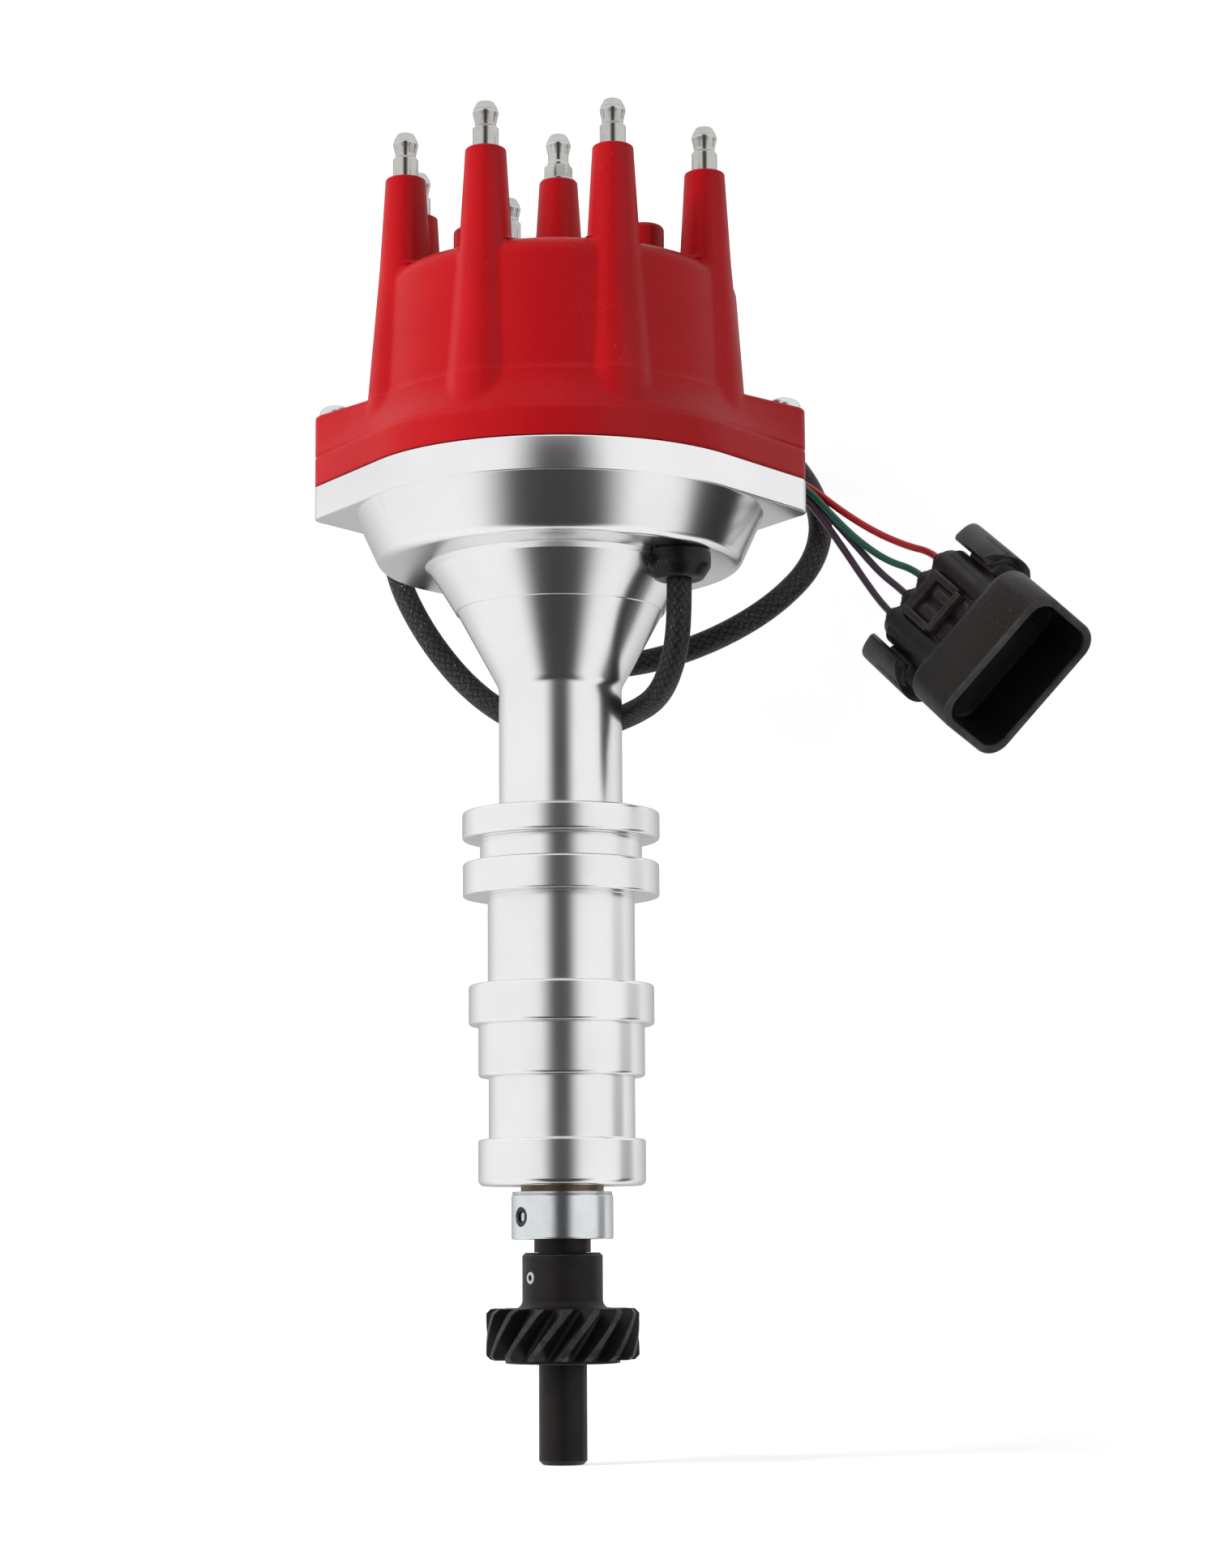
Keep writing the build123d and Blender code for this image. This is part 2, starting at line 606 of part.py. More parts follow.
def thrust_washer():
    """Thin washer between the collar and the bush lip."""
    return tube(WASHER_D, SHAFT_D, Z_WASHER, Z_WASHER + WASHER_H)


def set_screw_bore(diameter, inner, outer):
    """Radial rod in the collar at the pin angle, between two radii."""
    long = outer - inner
    place = Rot(0, 0, PIN_ANGLE) * Pos(inner + long / 2, 0, Z_COLLAR + COLLAR_H / 2)
    return place * Rot(0, 90, 0) * Cylinder(diameter / 2, long)


def shaft_collar():
    """Plated ring that sets the shaft's end play."""
    edge = EDGE_ROUND / 2
    bore, outer = SHAFT_D / 2, COLLAR_D / 2
    ring = turned_round(
        [(bore, Z_COLLAR), (outer, Z_COLLAR), (outer, Z_WASHER), (bore, Z_WASHER)], [0, edge, edge, 0],
    )
    return ring - set_screw_bore(SET_SCREW_D, bore - 1, outer + 1)


def collar_set_screw():
    """Headless screw in the collar, with a hexagon recess."""
    reach = COLLAR_D / 2 - SET_SCREW_SUNK
    screw = set_screw_bore(SET_SCREW_D, SHAFT_D / 2, reach) - rod(SHAFT_D, Z_COLLAR, Z_WASHER)
    recess = extrude(RegularPolygon(SET_SCREW_HEX / 2, 6, major_radius=False), SET_SCREW_D / 2)
    place = Rot(0, 0, PIN_ANGLE) * Pos(reach - SET_SCREW_D / 2, 0, Z_COLLAR + COLLAR_H / 2) * Rot(0, 90, 0)
    return screw - place * recess


def rotor():
    """Moulded rotor: screw plate, hub and the arm that carries the blade."""
    top = Z_BLADE
    body = rod(ROTOR_PLATE_D, Z_ROTOR, Z_ROTOR_PLATE) + rod(ROTOR_HUB_D, Z_ROTOR, top)
    reach = R_BLADE - ROTOR_ARM_SHORT
    arm = Pos(reach / 2, 0, top - ROTOR_ARM_H / 2) * Box(reach, ROTOR_ARM_WIDE, ROTOR_ARM_H)
    web = Plane.XZ * make_face(Polyline(
        (0, Z_ROTOR_PLATE), (ROTOR_PLATE_D / 2 - ROTOR_RIM, Z_ROTOR_PLATE),
        (reach, top - ROTOR_ARM_H), (0, top - ROTOR_ARM_H), close=True,
    ))
    weight = ROTOR_PLATE_D / 4
    counter = Box(weight, ROTOR_ARM_WIDE, ROTOR_WEIGHT_H)
    counter = Pos(-weight, 0, Z_ROTOR_PLATE + ROTOR_WEIGHT_H / 2) * counter
    body += Rot(0, 0, BLADE_TURN) * (arm + extrude(web, ROTOR_WEB / 2, both=True) + counter)
    body -= rod(SPIGOT_D, Z_ROTOR, Z_SPIGOT)
    for angle in around(ROTOR_SCREWS, 90):
        body -= Rot(0, 0, angle) * rod(ROTOR_SCREW_D, Z_ROTOR, Z_ROTOR_PLATE, ROTOR_SCREW_R)
    return body


def rotor_blade():
    """Brass blade that carries the spark from the hub to the tip."""
    start = -SPRING_WIDE / 2
    long = R_BLADE - start
    blade = Pos(start + long / 2, 0, Z_BLADE + BLADE_T / 2) * Box(long, BLADE_WIDE, BLADE_T)
    return Rot(0, 0, BLADE_TURN) * (blade & rod(2 * R_BLADE, Z_BLADE, Z_BLADE + BLADE_T))


def rotor_spring_contact():
    """Bowed leaf on the blade that presses up on the carbon button."""
    foot, top = Z_BLADE + BLADE_T, Z_BUTTON - RUN_GAP
    half = ROTOR_HUB_D / 2 - 1
    bowed = top - (top - foot) * SPRING_BOW
    path = ThreePointArc((half, 0, foot + SPRING_T / 2), (half / 3, 0, bowed), (0, 0, top - SPRING_T / 2))
    start = path % 0
    foot_plane = Plane(origin=path @ 0, z_dir=start, x_dir=(0, 1, 0))
    strip = sweep(foot_plane * Rectangle(SPRING_WIDE, SPRING_T), path)
    flat = Pos(-BUTTON_D / 4, 0, top - SPRING_T / 2) * Box(BUTTON_D, SPRING_WIDE, SPRING_T)
    return Rot(0, 0, BLADE_TURN) * (strip + flat)


def rotor_screws():
    """Screws that hold the rotor on the shutter disc."""
    one = pan_screw(ROTOR_SCREW_D, ROTOR_SCREW_HEAD_D, ROTOR_SCREW_HEAD_H, Z_SHUTTER, Z_ROTOR_PLATE)
    return [Rot(0, 0, a) * Pos(ROTOR_SCREW_R, 0, 0) * one for a in around(ROTOR_SCREWS, 90)]


def spread(height, degrees):
    """How far a tapered wall stands out over a height."""
    return height * math.tan(math.radians(degrees))


def distributor_cap():
    """Moulded cap: eared skirt, ribbed body, eight towers, the coil tower and two posts."""
    skirt = extrude(eared(FLANGE_D, Z_RIM), CAP_BAND_H)
    wide, slim = eared(FLANGE_D, Z_CAP_BAND).face(), eared(CAP_WAIST_D, Z_CAP_EAR).face()
    shoulder = loft([wide, slim], ruled=True)
    dome = turned_round(
        [(0, Z_CAP_BAND), (CAP_WALL_D / 2, Z_CAP_BAND), (CAP_WALL_D / 2, Z_CAP_EAR),
         (CAP_SHOULDER_D / 2, Z_CAP_TOP), (0, Z_CAP_TOP)],
        [0, 0, 0, CAP_ROUND, 0],
    )
    cap = skirt + shoulder + dome
    top = TOWER_TOP_D / 2
    knee = top + spread(Z_TOWER - Z_CAP_TOP, TOWER_TAPER)
    foot = knee + spread(Z_CAP_TOP - Z_CAP_BAND, RIB_TAPER)
    tower = turned((0, Z_CAP_BAND), (foot, Z_CAP_BAND), (knee, Z_CAP_TOP), (top, Z_TOWER), (0, Z_TOWER))
    for angle in around(TOWERS, 180 / TOWERS):
        cap += Rot(0, 0, angle) * Pos(TOWER_RING_R, 0, 0) * tower
    coil = COIL_TOWER_D / 2
    coil_foot = coil + spread(Z_COIL_TOWER - Z_CAP_TOP, COIL_TOWER_TAPER)
    cap += turned(
        (0, Z_ROOF), (coil_foot, Z_ROOF), (coil_foot, Z_CAP_TOP), (coil, Z_COIL_TOWER), (0, Z_COIL_TOWER),
    )
    post_top = Z_CAP_TOP + POST_H
    post = turned_round(
        [(0, Z_ROOF), (POST_D / 2, Z_ROOF), (POST_D / 2, post_top), (0, post_top)], [0, 0, POST_ROUND, 0],
    ) - rod(POST_HOLE_D, post_top - POST_HOLE_DEPTH, post_top)
    for side in (-1, 1):
        cap += Pos(side * POST_R, 0, 0) * post
    return cap - cap_hollow()


def cap_hollow():
    """Everything cut from the cap: its inside, its bores and its screw holes."""
    hollow = rod(CAP_BORE_D, Z_RIM, Z_ROOF) - rod(BUTTON_BOSS_D, Z_ROOF - BUTTON_BOSS_H, Z_ROOF)
    hollow += rod(BUTTON_D, Z_ROOF - BUTTON_BOSS_H, Z_ROOF) + rod(TERMINAL_ROD_D, Z_ROOF, Z_COIL_TOWER)
    for angle in around(TOWERS, 180 / TOWERS):
        hollow += Rot(0, 0, angle) * rod(TERMINAL_ROD_D, Z_ROOF, Z_TOWER, TOWER_RING_R)
        hollow += Rot(0, 0, angle) * electrode_block()
    for side in (-1, 1):
        hollow += rod(CAP_SCREW_D, Z_RIM, Z_CAP_EAR, side * EAR_REACH)
    return hollow


def cap_lip():
    """Locating ring under the cap that drops into the bowl."""
    outer = BOWL_BORE_D - 2 * LIP_GAP
    return tube(outer, outer - 2 * LIP_WALL, Z_RIM - LIP_H, Z_RIM)


def electrode_block():
    """One contact block under the roof, standing on +X."""
    block = Box(ELECTRODE_DEEP, ELECTRODE_WIDE, ELECTRODE_DROP)
    return Pos(TOWER_RING_R, 0, Z_ROOF - ELECTRODE_DROP / 2) * block


def cap_electrodes():
    """The eight contact blocks that the rotor's blade passes."""
    return [Rot(0, 0, a) * electrode_block() for a in around(TOWERS, 180 / TOWERS)]


def terminal_head(base, base_h):
    """Snap terminal above its base, as (radius, height over the tower) points."""
    neck, head = TERMINAL_NECK_D / 2, TERMINAL_HEAD_D / 2
    return [
        (base / 2, base_h), (neck, base_h + TERMINAL_STEP), (neck, TERMINAL_NECK_H),
        (head - TERMINAL_SWELL, TERMINAL_HEAD_H - TERMINAL_BARREL), (head, TERMINAL_HEAD_H),
        (head - TERMINAL_SWELL, TERMINAL_HEAD_H + TERMINAL_BARREL),
        (TERMINAL_TOP_D / 2, TERMINAL_H), (0, TERMINAL_H),
    ]


def tower_terminals():
    """Snap terminals of the eight towers, each on a rod down to its contact block."""
    base = TERMINAL_BASE_D / 2
    head = [(r, Z_TOWER + h) for r, h in terminal_head(TERMINAL_BASE_D, TERMINAL_BASE_H)]
    stud = turned((0, Z_TOWER), (base, Z_TOWER), *head) + rod(TERMINAL_ROD_D, Z_ROOF, Z_TOWER)
    return [Rot(0, 0, a) * Pos(TOWER_RING_R, 0, 0) * stud for a in around(TOWERS, 180 / TOWERS)]


def coil_terminal():
    """Centre terminal: a washer, a hexagon and the snap head, on a rod down to the button."""
    washer_top = Z_COIL_TOWER + COIL_WASHER_H
    hexagon = extrude(RegularPolygon(COIL_HEX / 2, 6, major_radius=False), COIL_HEX_H)
    head = [(r, washer_top + h) for r, h in terminal_head(COIL_HEX, COIL_HEX_H + COIL_STEP)]
    stud = turned((0, washer_top), (COIL_HEX / 2, washer_top), *head)
    stud += Pos(0, 0, washer_top) * Rot(0, 0, COIL_HEX_TURN) * hexagon
    stud += rod(COIL_WASHER_D, Z_COIL_TOWER, washer_top)
    return stud + rod(TERMINAL_ROD_D, Z_ROOF, Z_COIL_TOWER)


def carbon_button():
    """Carbon contact under the coil terminal."""
    return turned_round(
        [(0, Z_BUTTON), (BUTTON_D / 2, Z_BUTTON), (BUTTON_D / 2, Z_ROOF), (0, Z_ROOF)], [0, 1.0, 0, 0],
    )


def cap_screws():
    """The two screws that hold the cap to the bowl's ears."""
    one = pan_screw(CAP_SCREW_D, CAP_SCREW_HEAD_D, CAP_SCREW_HEAD_H, Z_FLANGE + CAP_SCREW_RECESS, Z_CAP_EAR)
    return [Pos(side * EAR_REACH, 0, 0) * one for side in (-1, 1)]


def grommet():
    """Rubber bush in the bowl floor that the harness leaves through."""
    gx, gy = grommet_spot()
    full, tip, neck, lip = GROMMET_D / 2, GROMMET_TIP_D / 2, GROMMET_NECK_D / 2, GROMMET_LIP_D / 2
    bottom = Z_BOWL - GROMMET_H
    bush = turned_round(
        [(0, bottom), (tip, bottom), (full, Z_BOWL - GROMMET_H / 2), (full, Z_BOWL), (neck, Z_BOWL),
         (neck, Z_FLOOR), (lip, Z_FLOOR), (lip, Z_FLOOR + GROMMET_LIP_H), (0, Z_FLOOR + GROMMET_LIP_H)],
        [0, 1.2, 1.5, 0.6, 0, 0, 0, 0.8, 0],
    )
    return Pos(gx, gy, 0) * bush


def cord(points, diameter, name):
    """Tube of straight runs and tangent arcs, each arc as large as its two runs allow."""
    line = [Vector(*p) for p in points]
    runs = [(b - a) for a, b in zip(line, line[1:])]
    radii = []
    for before, after in zip(runs, runs[1:]):
        turn = math.radians(before.get_angle(after))
        radii.append(0.45 * min(before.length, after.length) / math.tan(turn / 2))
    path = FilletPolyline(*line, radius=radii)
    start = Plane(origin=path @ 0, z_dir=path % 0)
    body = sweep(start * Circle(diameter / 2), path)
    straight = math.pi * diameter ** 2 / 4 * path.length
    print(f"{name}: length {path.length:.1f}, volume {body.volume / straight:.4f} of section x length, "
          f"radii {' '.join(f'{r:.0f}' for r in radii)}")
    return body


def sleeve_route():
    """The sleeve's points, starting at the grommet's tip."""
    gx, gy = grommet_spot()
    return [(gx, gy, Z_BOWL - GROMMET_H), (gx, gy, SLEEVE_ROUTE[0][2]), *SLEEVE_ROUTE[1:]]


def boot_axis():
    """Start and direction of the boot, along the sleeve's last run."""
    before, end = Vector(*SLEEVE_ROUTE[-2]), Vector(*SLEEVE_ROUTE[-1])
    return end, (end - before).normalized()


def harness_boot():
    """Shrunk boot where the sleeve ends and the wires come out."""
    end, along = boot_axis()
    wide = BOOT_D / 2
    boot = turned_round([(0, 0), (wide, 0), (wide, BOOT_LEN), (0, BOOT_LEN)], [0, 0.8, 0.8, 0])
    return Plane(origin=end, z_dir=along) * boot


def plug_plane():
    """Frame of the plug: X along its row of wires, Y out of its mouth, Z out of its latch face."""
    row = Vector(*PLUG_ROW).normalized()
    face = Vector(*PLUG_FACE)
    face = (face - row * row.dot(face)).normalized()
    return Plane(origin=PLUG_AT, x_dir=row, z_dir=face)


def plug_columns():
    """Places of the four wires along the plug's row."""
    return [PLUG_PITCH * (i - 1.5) for i in range(4)]


def rounded_block(wide, high, corner, start, end):
    """Block along the plug's Y with rounded corners, between two depths."""
    return Plane.XZ.offset(-start) * extrude(RectangleRounded(wide, high, corner), -(end - start))


def along_plug(diameter, start, end, x, z):
    """Cylinder along the plug's Y."""
    return Pos(x, (start + end) / 2, z) * Rot(90, 0, 0) * Cylinder(diameter / 2, end - start)


def connector_shell():
    """Moulded plug shell: four barrels, the flare, the shroud, side guards and the latch ramp."""
    flare_end = PLUG_L - PLUG_HOLLOW
    flare_start = flare_end - PLUG_FLARE
    small = RectangleRounded(PLUG_BODY_W, PLUG_BODY_H, PLUG_BODY_CORNER)
    large = RectangleRounded(PLUG_W, PLUG_H, PLUG_CORNER)
    shell = rounded_block(PLUG_BODY_W, PLUG_BODY_H, PLUG_BODY_CORNER, PLUG_BODY_BACK, flare_start)
    ends = [Plane.XZ.offset(-flare_start) * small, Plane.XZ.offset(-flare_end) * large]
    shell += loft([end.face() for end in ends], ruled=True)
    shell += rounded_block(PLUG_W, PLUG_H, PLUG_CORNER, flare_end, PLUG_L)
    inside = PLUG_W - 2 * PLUG_WALL, PLUG_H - 2 * PLUG_WALL, PLUG_CORNER - PLUG_WALL / 2
    shell -= rounded_block(*inside, flare_end, PLUG_L)
    for x in plug_columns():
        shell += along_plug(BARREL_D, 0, flare_end - 1.0, x, PLUG_ROW_UP)
    shell += side_guards()
    latch_top = PLUG_BODY_H / 2 + LATCH_H
    latch_start = flare_start - LATCH_L / 2
    latch = Pos(0, latch_start + LATCH_L / 2, latch_top / 2) * Box(LATCH_W, LATCH_L, latch_top)
    for side in (-1, 1):
        slot = Box(LATCH_SLOT, LATCH_L / 2, LATCH_H)
        latch -= Pos(side * LATCH_W / 4, latch_start + LATCH_L / 3, latch_top) * slot
    shell += latch
    for x in plug_columns():
        shell -= along_plug(SEAL_D, 0, SEAL_IN, x, PLUG_ROW_UP)
        shell -= along_plug(PIN_D, SEAL_IN, flare_end, x, PLUG_ROW_UP)
    return plug_plane() * shell


def side_guards():
    """Curved guards at both sides of the wire end, cut off at a slant behind."""
    centre = PLUG_W / 2 - GUARD_CURVE + GUARD_PROUD
    outside = centre + GUARD_CURVE
    ring = Circle(GUARD_CURVE) - Circle(GUARD_CURVE - GUARD_WALL)
    keep = Pos(GUARD_CURVE / 2 + 1, 0) * Rectangle(GUARD_CURVE, 2 * GUARD_CURVE)
    guard = Plane.XZ.offset(GUARD_BACK) * extrude(Pos(centre, 0) * (ring & keep), -GUARD_LEN)
    slant = Rot(0, 0, -GUARD_SLANT) * Box(4 * GUARD_CURVE, 2 * GUARD_BACK, 4 * GUARD_CURVE)
    guard -= Pos(outside, -GUARD_BACK, 0) * slant
    reach = outside - PLUG_BODY_W / 2
    web = Box(reach, GUARD_WEB, PLUG_BODY_H * 0.7)
    guard += Pos(outside - 1 - reach / 2, GUARD_LEN - GUARD_BACK - 3, 0) * web
    return guard + mirror(guard, about=Plane.YZ)


def connector_seals():
    """Rubber seal around each wire, half in its barrel."""
    place = plug_plane()
    return [place * along_plug(SEAL_D, -SEAL_OUT, SEAL_IN, x, PLUG_ROW_UP) for x in plug_columns()]


def connector_pins():
    """The four pins, from the seals into the shroud."""
    place = plug_plane()
    return [place * along_plug(PIN_D, SEAL_IN, PLUG_L - PIN_SHORT, x, PLUG_ROW_UP) for x in plug_columns()]


def wire_route(column, turn, middle):
    """A wire's points: out of the boot at an angle of its ring, through its own route, into its seal."""
    end, along = boot_axis()
    side = along.cross(Vector(0, 0, 1)).normalized()
    up = side.cross(along)
    offset = (side * math.cos(math.radians(turn)) + up * math.sin(math.radians(turn))) * WIRE_SPREAD
    start = end + along * BOOT_LEN + offset
    frame = plug_plane()
    seal = frame.from_local_coords(Vector(plug_columns()[column], -SEAL_OUT, PLUG_ROW_UP))
    return [start, *middle, seal - frame.y_dir * WIRE_LEAD, seal]


def group(solids):
    """Separate solids of one node."""
    return Compound(children=[s.solid() for s in solids])


def nodes():
    """Every sub-part by name."""
    sleeve = cord(sleeve_route(), SLEEVE_D, "harness_sleeve")
    return {
        "housing": housing(),
        "lower_bushing": lower_bushing(),
        "upper_bearing_outer_race": upper_bearing_outer_race(),
        "bearing_circlip": bearing_circlip(),
        "sensor_plate": sensor_plate(),
        "sensor_plate_screws": group(sensor_plate_screws()),
        "crank_sensor": crank_sensor(),
        "cam_sensor": cam_sensor(),
        "distributor_cap": distributor_cap() + cap_lip(),
        "cap_electrodes": group(cap_electrodes()),
        "tower_terminals": group(tower_terminals()),
        "coil_terminal": coil_terminal(),
        "carbon_button": carbon_button(),
        "cap_screws": group(cap_screws()),
        "harness_grommet": grommet(),
        "harness_sleeve": sleeve,
        "harness_boot": harness_boot(),
        "wire_red": cord(wire_route(0, 135, RED_ROUTE), WIRE_D, "wire_red"),
        "wire_green": cord(wire_route(1, 45, GREEN_ROUTE), WIRE_D, "wire_green"),
        "wire_violet": cord(wire_route(2, -135, VIOLET_ROUTE), WIRE_D, "wire_violet"),
        "wire_violet_tracer": cord(wire_route(3, -45, TRACER_ROUTE), WIRE_D, "wire_violet_tracer"),
        "connector_shell": connector_shell(),
        "connector_seals": group(connector_seals()),
        "connector_pins": group(connector_pins()),
        "main_shaft": main_shaft(),
        "upper_bearing_inner_race": upper_bearing_inner_race(),
        "crank_shutter": crank_shutter(),
        "cam_shutter": cam_shutter(),
        "rotor": rotor(),
        "rotor_blade": rotor_blade(),
        "rotor_spring_contact": rotor_spring_contact(),
        "rotor_screws": group(rotor_screws()),
        "thrust_washer": thrust_washer(),
        "shaft_collar": shaft_collar(),
        "collar_set_screw": collar_set_screw(),
        "drive_gear": drive_gear(),
        "gear_roll_pin": gear_roll_pin(),
        "bearing_balls": group(bearing_balls()),
        "ball_cage": ball_cage(),
    }


parts = nodes()
os.makedirs("parts", exist_ok=True)
for name, shape in parts.items():
    export_step(shape, f"parts/{name}.step")
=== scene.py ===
import logging
import math
from dataclasses import dataclass, field, replace
from enum import Enum
from typing import Callable, Dict, List, Mapping, Optional, Sequence, Tuple, Union

import bpy
import numpy as np
from mathutils import Matrix, Vector


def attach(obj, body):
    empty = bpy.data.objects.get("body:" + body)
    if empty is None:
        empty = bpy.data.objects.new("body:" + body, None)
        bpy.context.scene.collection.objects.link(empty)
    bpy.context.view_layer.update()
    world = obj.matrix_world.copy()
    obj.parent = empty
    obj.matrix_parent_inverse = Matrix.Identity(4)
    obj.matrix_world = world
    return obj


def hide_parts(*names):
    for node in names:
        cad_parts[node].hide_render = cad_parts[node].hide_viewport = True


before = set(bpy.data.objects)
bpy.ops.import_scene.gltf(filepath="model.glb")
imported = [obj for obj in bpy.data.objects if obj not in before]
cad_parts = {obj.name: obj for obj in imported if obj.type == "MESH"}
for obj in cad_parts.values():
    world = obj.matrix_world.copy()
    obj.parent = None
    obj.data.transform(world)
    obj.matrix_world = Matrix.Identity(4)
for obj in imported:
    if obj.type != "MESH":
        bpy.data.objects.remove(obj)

# Ignition distributor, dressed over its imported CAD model. Shapes are worked out in millimetres in
# the row frame, with Z up the shaft, and turned into metres when their mesh is made. The cords'
# routes, the studio and the steps along a cord are in metres.

LOG = logging.getLogger("distributor")
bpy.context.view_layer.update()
MM = 0.001
FULL_TURN = 2.0 * math.pi
QUARTER = math.pi / 2
CORD_STEP = 0.0008
BUMP_DEPTH = 0.0001
THREADS = 6.0
ALL_ROUND = -1.0
DUST_COLOUR = (0.75, 0.73, 0.7)
LINT_COLOUR = (0.5, 0.49, 0.47)
VALUE_SOCKET = "NodeSocketFloat"

Array = np.ndarray
Colour = Tuple[float, float, float]
Socket = bpy.types.NodeSocket
Sockets = Mapping[str, Socket]
Fill = Callable[["Tree", Sockets], Dict[str, Socket]]
Point = Tuple[float, float, float]
Corners = Sequence[Tuple[float, float]]


class Body(Enum):
    """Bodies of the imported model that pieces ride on."""

    DISTRIBUTOR = "distributor"
    SHAFT = "shaft"


@dataclass(frozen=True)
class Heights:
    """Levels along the shaft, in millimetres over the seat."""

    tail: float = -149.26
    gear: float = -123.11
    teeth: float = -122.18
    teeth_top: float = -108.88
    hub: float = -94.28
    collar: float = -90.88
    washer: float = -79.08
    washer_top: float = -78.31
    foot: float = -76.84
    neck: float = -64.55
    bush_top: float = -50.84
    band: float = -48.17
    pilot: float = -34.42
    waist: float = -23.55
    seat: float = 0.0
    groove: float = 9.11
    guard: float = 15.3
    column: float = 22.91
    cone: float = 56.86
    cone_mid: float = 77.43
    bearing: float = 80.73
    cone_top: float = 88.63
    bowl: float = 90.03
    floor: float = 94.03
    flange: float = 104.43
    rotor: float = 110.23
    rim: float = 113.73
    cap_band: float = 121.53
    spigot: float = 128.23
    cap_ear: float = 133.28
    roof: float = 165.23
    cap_top: float = 169.53
    post: float = 185.93
    tower: float = 194.93
    coil_tower: float = 199.03


Z = Heights()
COLLAR_MIDDLE = (Z.collar + Z.washer) / 2


@dataclass(frozen=True)
class Surface:
    """Mesh data of one shape: points in millimetres, quads, triangles, their UVs and the painted
    edge highlight.

    Args:
        points: (n, 3) places.
        quads: (m, 4) indices of points.
        tris: (k, 3) indices of points.
        quad_uv: (m, 4, 2) places on the surface, in millimetres.
        tri_uv: (k, 3, 2) places on the surface, in millimetres.
        wear: (n,) painted edge highlight: 1 on an exposed edge and 0 on a face.
    """

    points: Array
    quads: Array
    tris: Array
    quad_uv: Array
    tri_uv: Array
    wear: Array

    def placed(self, matrix: Array) -> "Surface":
        """The same surface moved by a 4x4 matrix."""
        points = self.points @ matrix[:3, :3].T + matrix[:3, 3]
        return Surface(points, self.quads, self.tris, self.quad_uv, self.tri_uv, self.wear)


def joined(surfaces: Sequence[Surface]) -> Surface:
    """One surface of several, with the indices of each moved past those before it.

    Args:
        surfaces: what is joined.

    Returns:
        Their points and faces in one.
    """
    counts = [len(s.points) for s in surfaces]
    starts = np.concatenate([[0], np.cumsum(counts)[:-1]])
    return Surface(
        np.concatenate([s.points for s in surfaces]),
        np.concatenate([s.quads + k for s, k in zip(surfaces, starts)]),
        np.concatenate([s.tris + k for s, k in zip(surfaces, starts)]),
        np.concatenate([s.quad_uv for s in surfaces]),
        np.concatenate([s.tri_uv for s in surfaces]),
        np.concatenate([s.wear for s in surfaces]),
    )


def woven_grid(points: Array, wear: Optional[Array] = None, ring: bool = False) -> Surface:
    """Closed grid: quads between neighbouring rows, each row closed round, and a fan at each pole.

    Row i and column j make the quad (i, j), (i, j+1), (i+1, j+1), (i+1, j), with j+1 taken round
    the row. A pole is the mean of its row. The UV is the length run along the first column and
    round the widest row.

    Args:
        points: (rows, columns, 3) places in millimetres.
        wear: (rows,) or (rows, columns) painted edge highlight.
        ring: whether the last row joins the first one, in place of a fan at each end.

    Returns:
        The surface of the grid.
    """
    rows, cols = points.shape[:2]
    shades = np.zeros((rows, cols)) if wear is None else np.broadcast_to(
        wear[:, None] if wear.ndim == 1 else wear, (rows, cols))
    after = np.concatenate([points[1:], points[:1]]) if ring else points
    run = np.linalg.norm(np.diff(points[:, 0], axis=0), axis=1)
    along = np.concatenate([[0.0], np.cumsum(run)])
    closing = float(np.linalg.norm(after[-1, 0] - points[-1, 0])) if ring else 0.0
    girth = np.linalg.norm(np.roll(points, -1, axis=1) - points, axis=2).sum(axis=1).max()
    round_ = np.linspace(0.0, girth, cols + 1)
    last = rows if ring else rows - 1
    i = np.arange(last)[:, None]
    j = np.arange(cols)[None, :]
    near, far = i, (i + 1) % rows
    left, right = j, (j + 1) % cols
    corners = [near * cols + left, near * cols + right, far * cols + right, far * cols + left]
    quads = np.stack([np.broadcast_to(c, (last, cols)) for c in corners], axis=-1).reshape(-1, 4)
    along_end = np.append(along, along[-1] + closing)
    pairs = [(i, j), (i, j + 1), (i + 1, j + 1), (i + 1, j)]
    quad_uv = np.stack([
        np.stack(np.broadcast_arrays(round_[b], along_end[a]), axis=-1) for a, b in pairs
    ], axis=-2).reshape(-1, 4, 2)
    flat = points.reshape(-1, 3)
    ends: List[Array] = []
    fans: List[Array] = []
    fan_uv: List[Array] = []
    around = np.arange(cols)
    for row, turn in () if ring else ((0, True), (rows - 1, False)):
        pole = len(flat) + len(ends)
        ends.append(points[row].mean(axis=0))
        here, beside = row * cols + around, row * cols + (around + 1) % cols
        centre = np.full(cols, pole)
        fans.append(np.stack([centre, beside, here] if turn else [centre, here, beside], axis=-1))
        middle = np.stack([(round_[:-1] + round_[1:]) / 2, np.full(cols, along[row])], axis=-1)
        sides = [np.stack([round_[:-1], np.full(cols, along[row])], axis=-1),
                 np.stack([round_[1:], np.full(cols, along[row])], axis=-1)]
        fan_uv.append(np.stack([middle, sides[1], sides[0]] if turn else [middle, *sides], axis=1))
    return Surface(
        np.concatenate([flat, np.array(ends).reshape(-1, 3)]),
        quads,
        np.concatenate(fans) if fans else np.zeros((0, 3), dtype=int),
        quad_uv,
        np.concatenate(fan_uv) if fan_uv else np.zeros((0, 3, 2)),
        np.concatenate([shades.reshape(-1), np.zeros(len(ends))]),
    )


def circle(count: int) -> Array:
    """Row of even angles round one turn."""
    return np.linspace(0.0, FULL_TURN, count, endpoint=False)[None, :]


def polar_grid(radius: Array, angle: Array, height: Array) -> Array:
    """Points at radii, angles and heights about Z, each spread over the rows and columns."""
    flat = radius * np.cos(angle), radius * np.sin(angle), height
    return np.stack(np.broadcast_arrays(*flat), axis=-1)


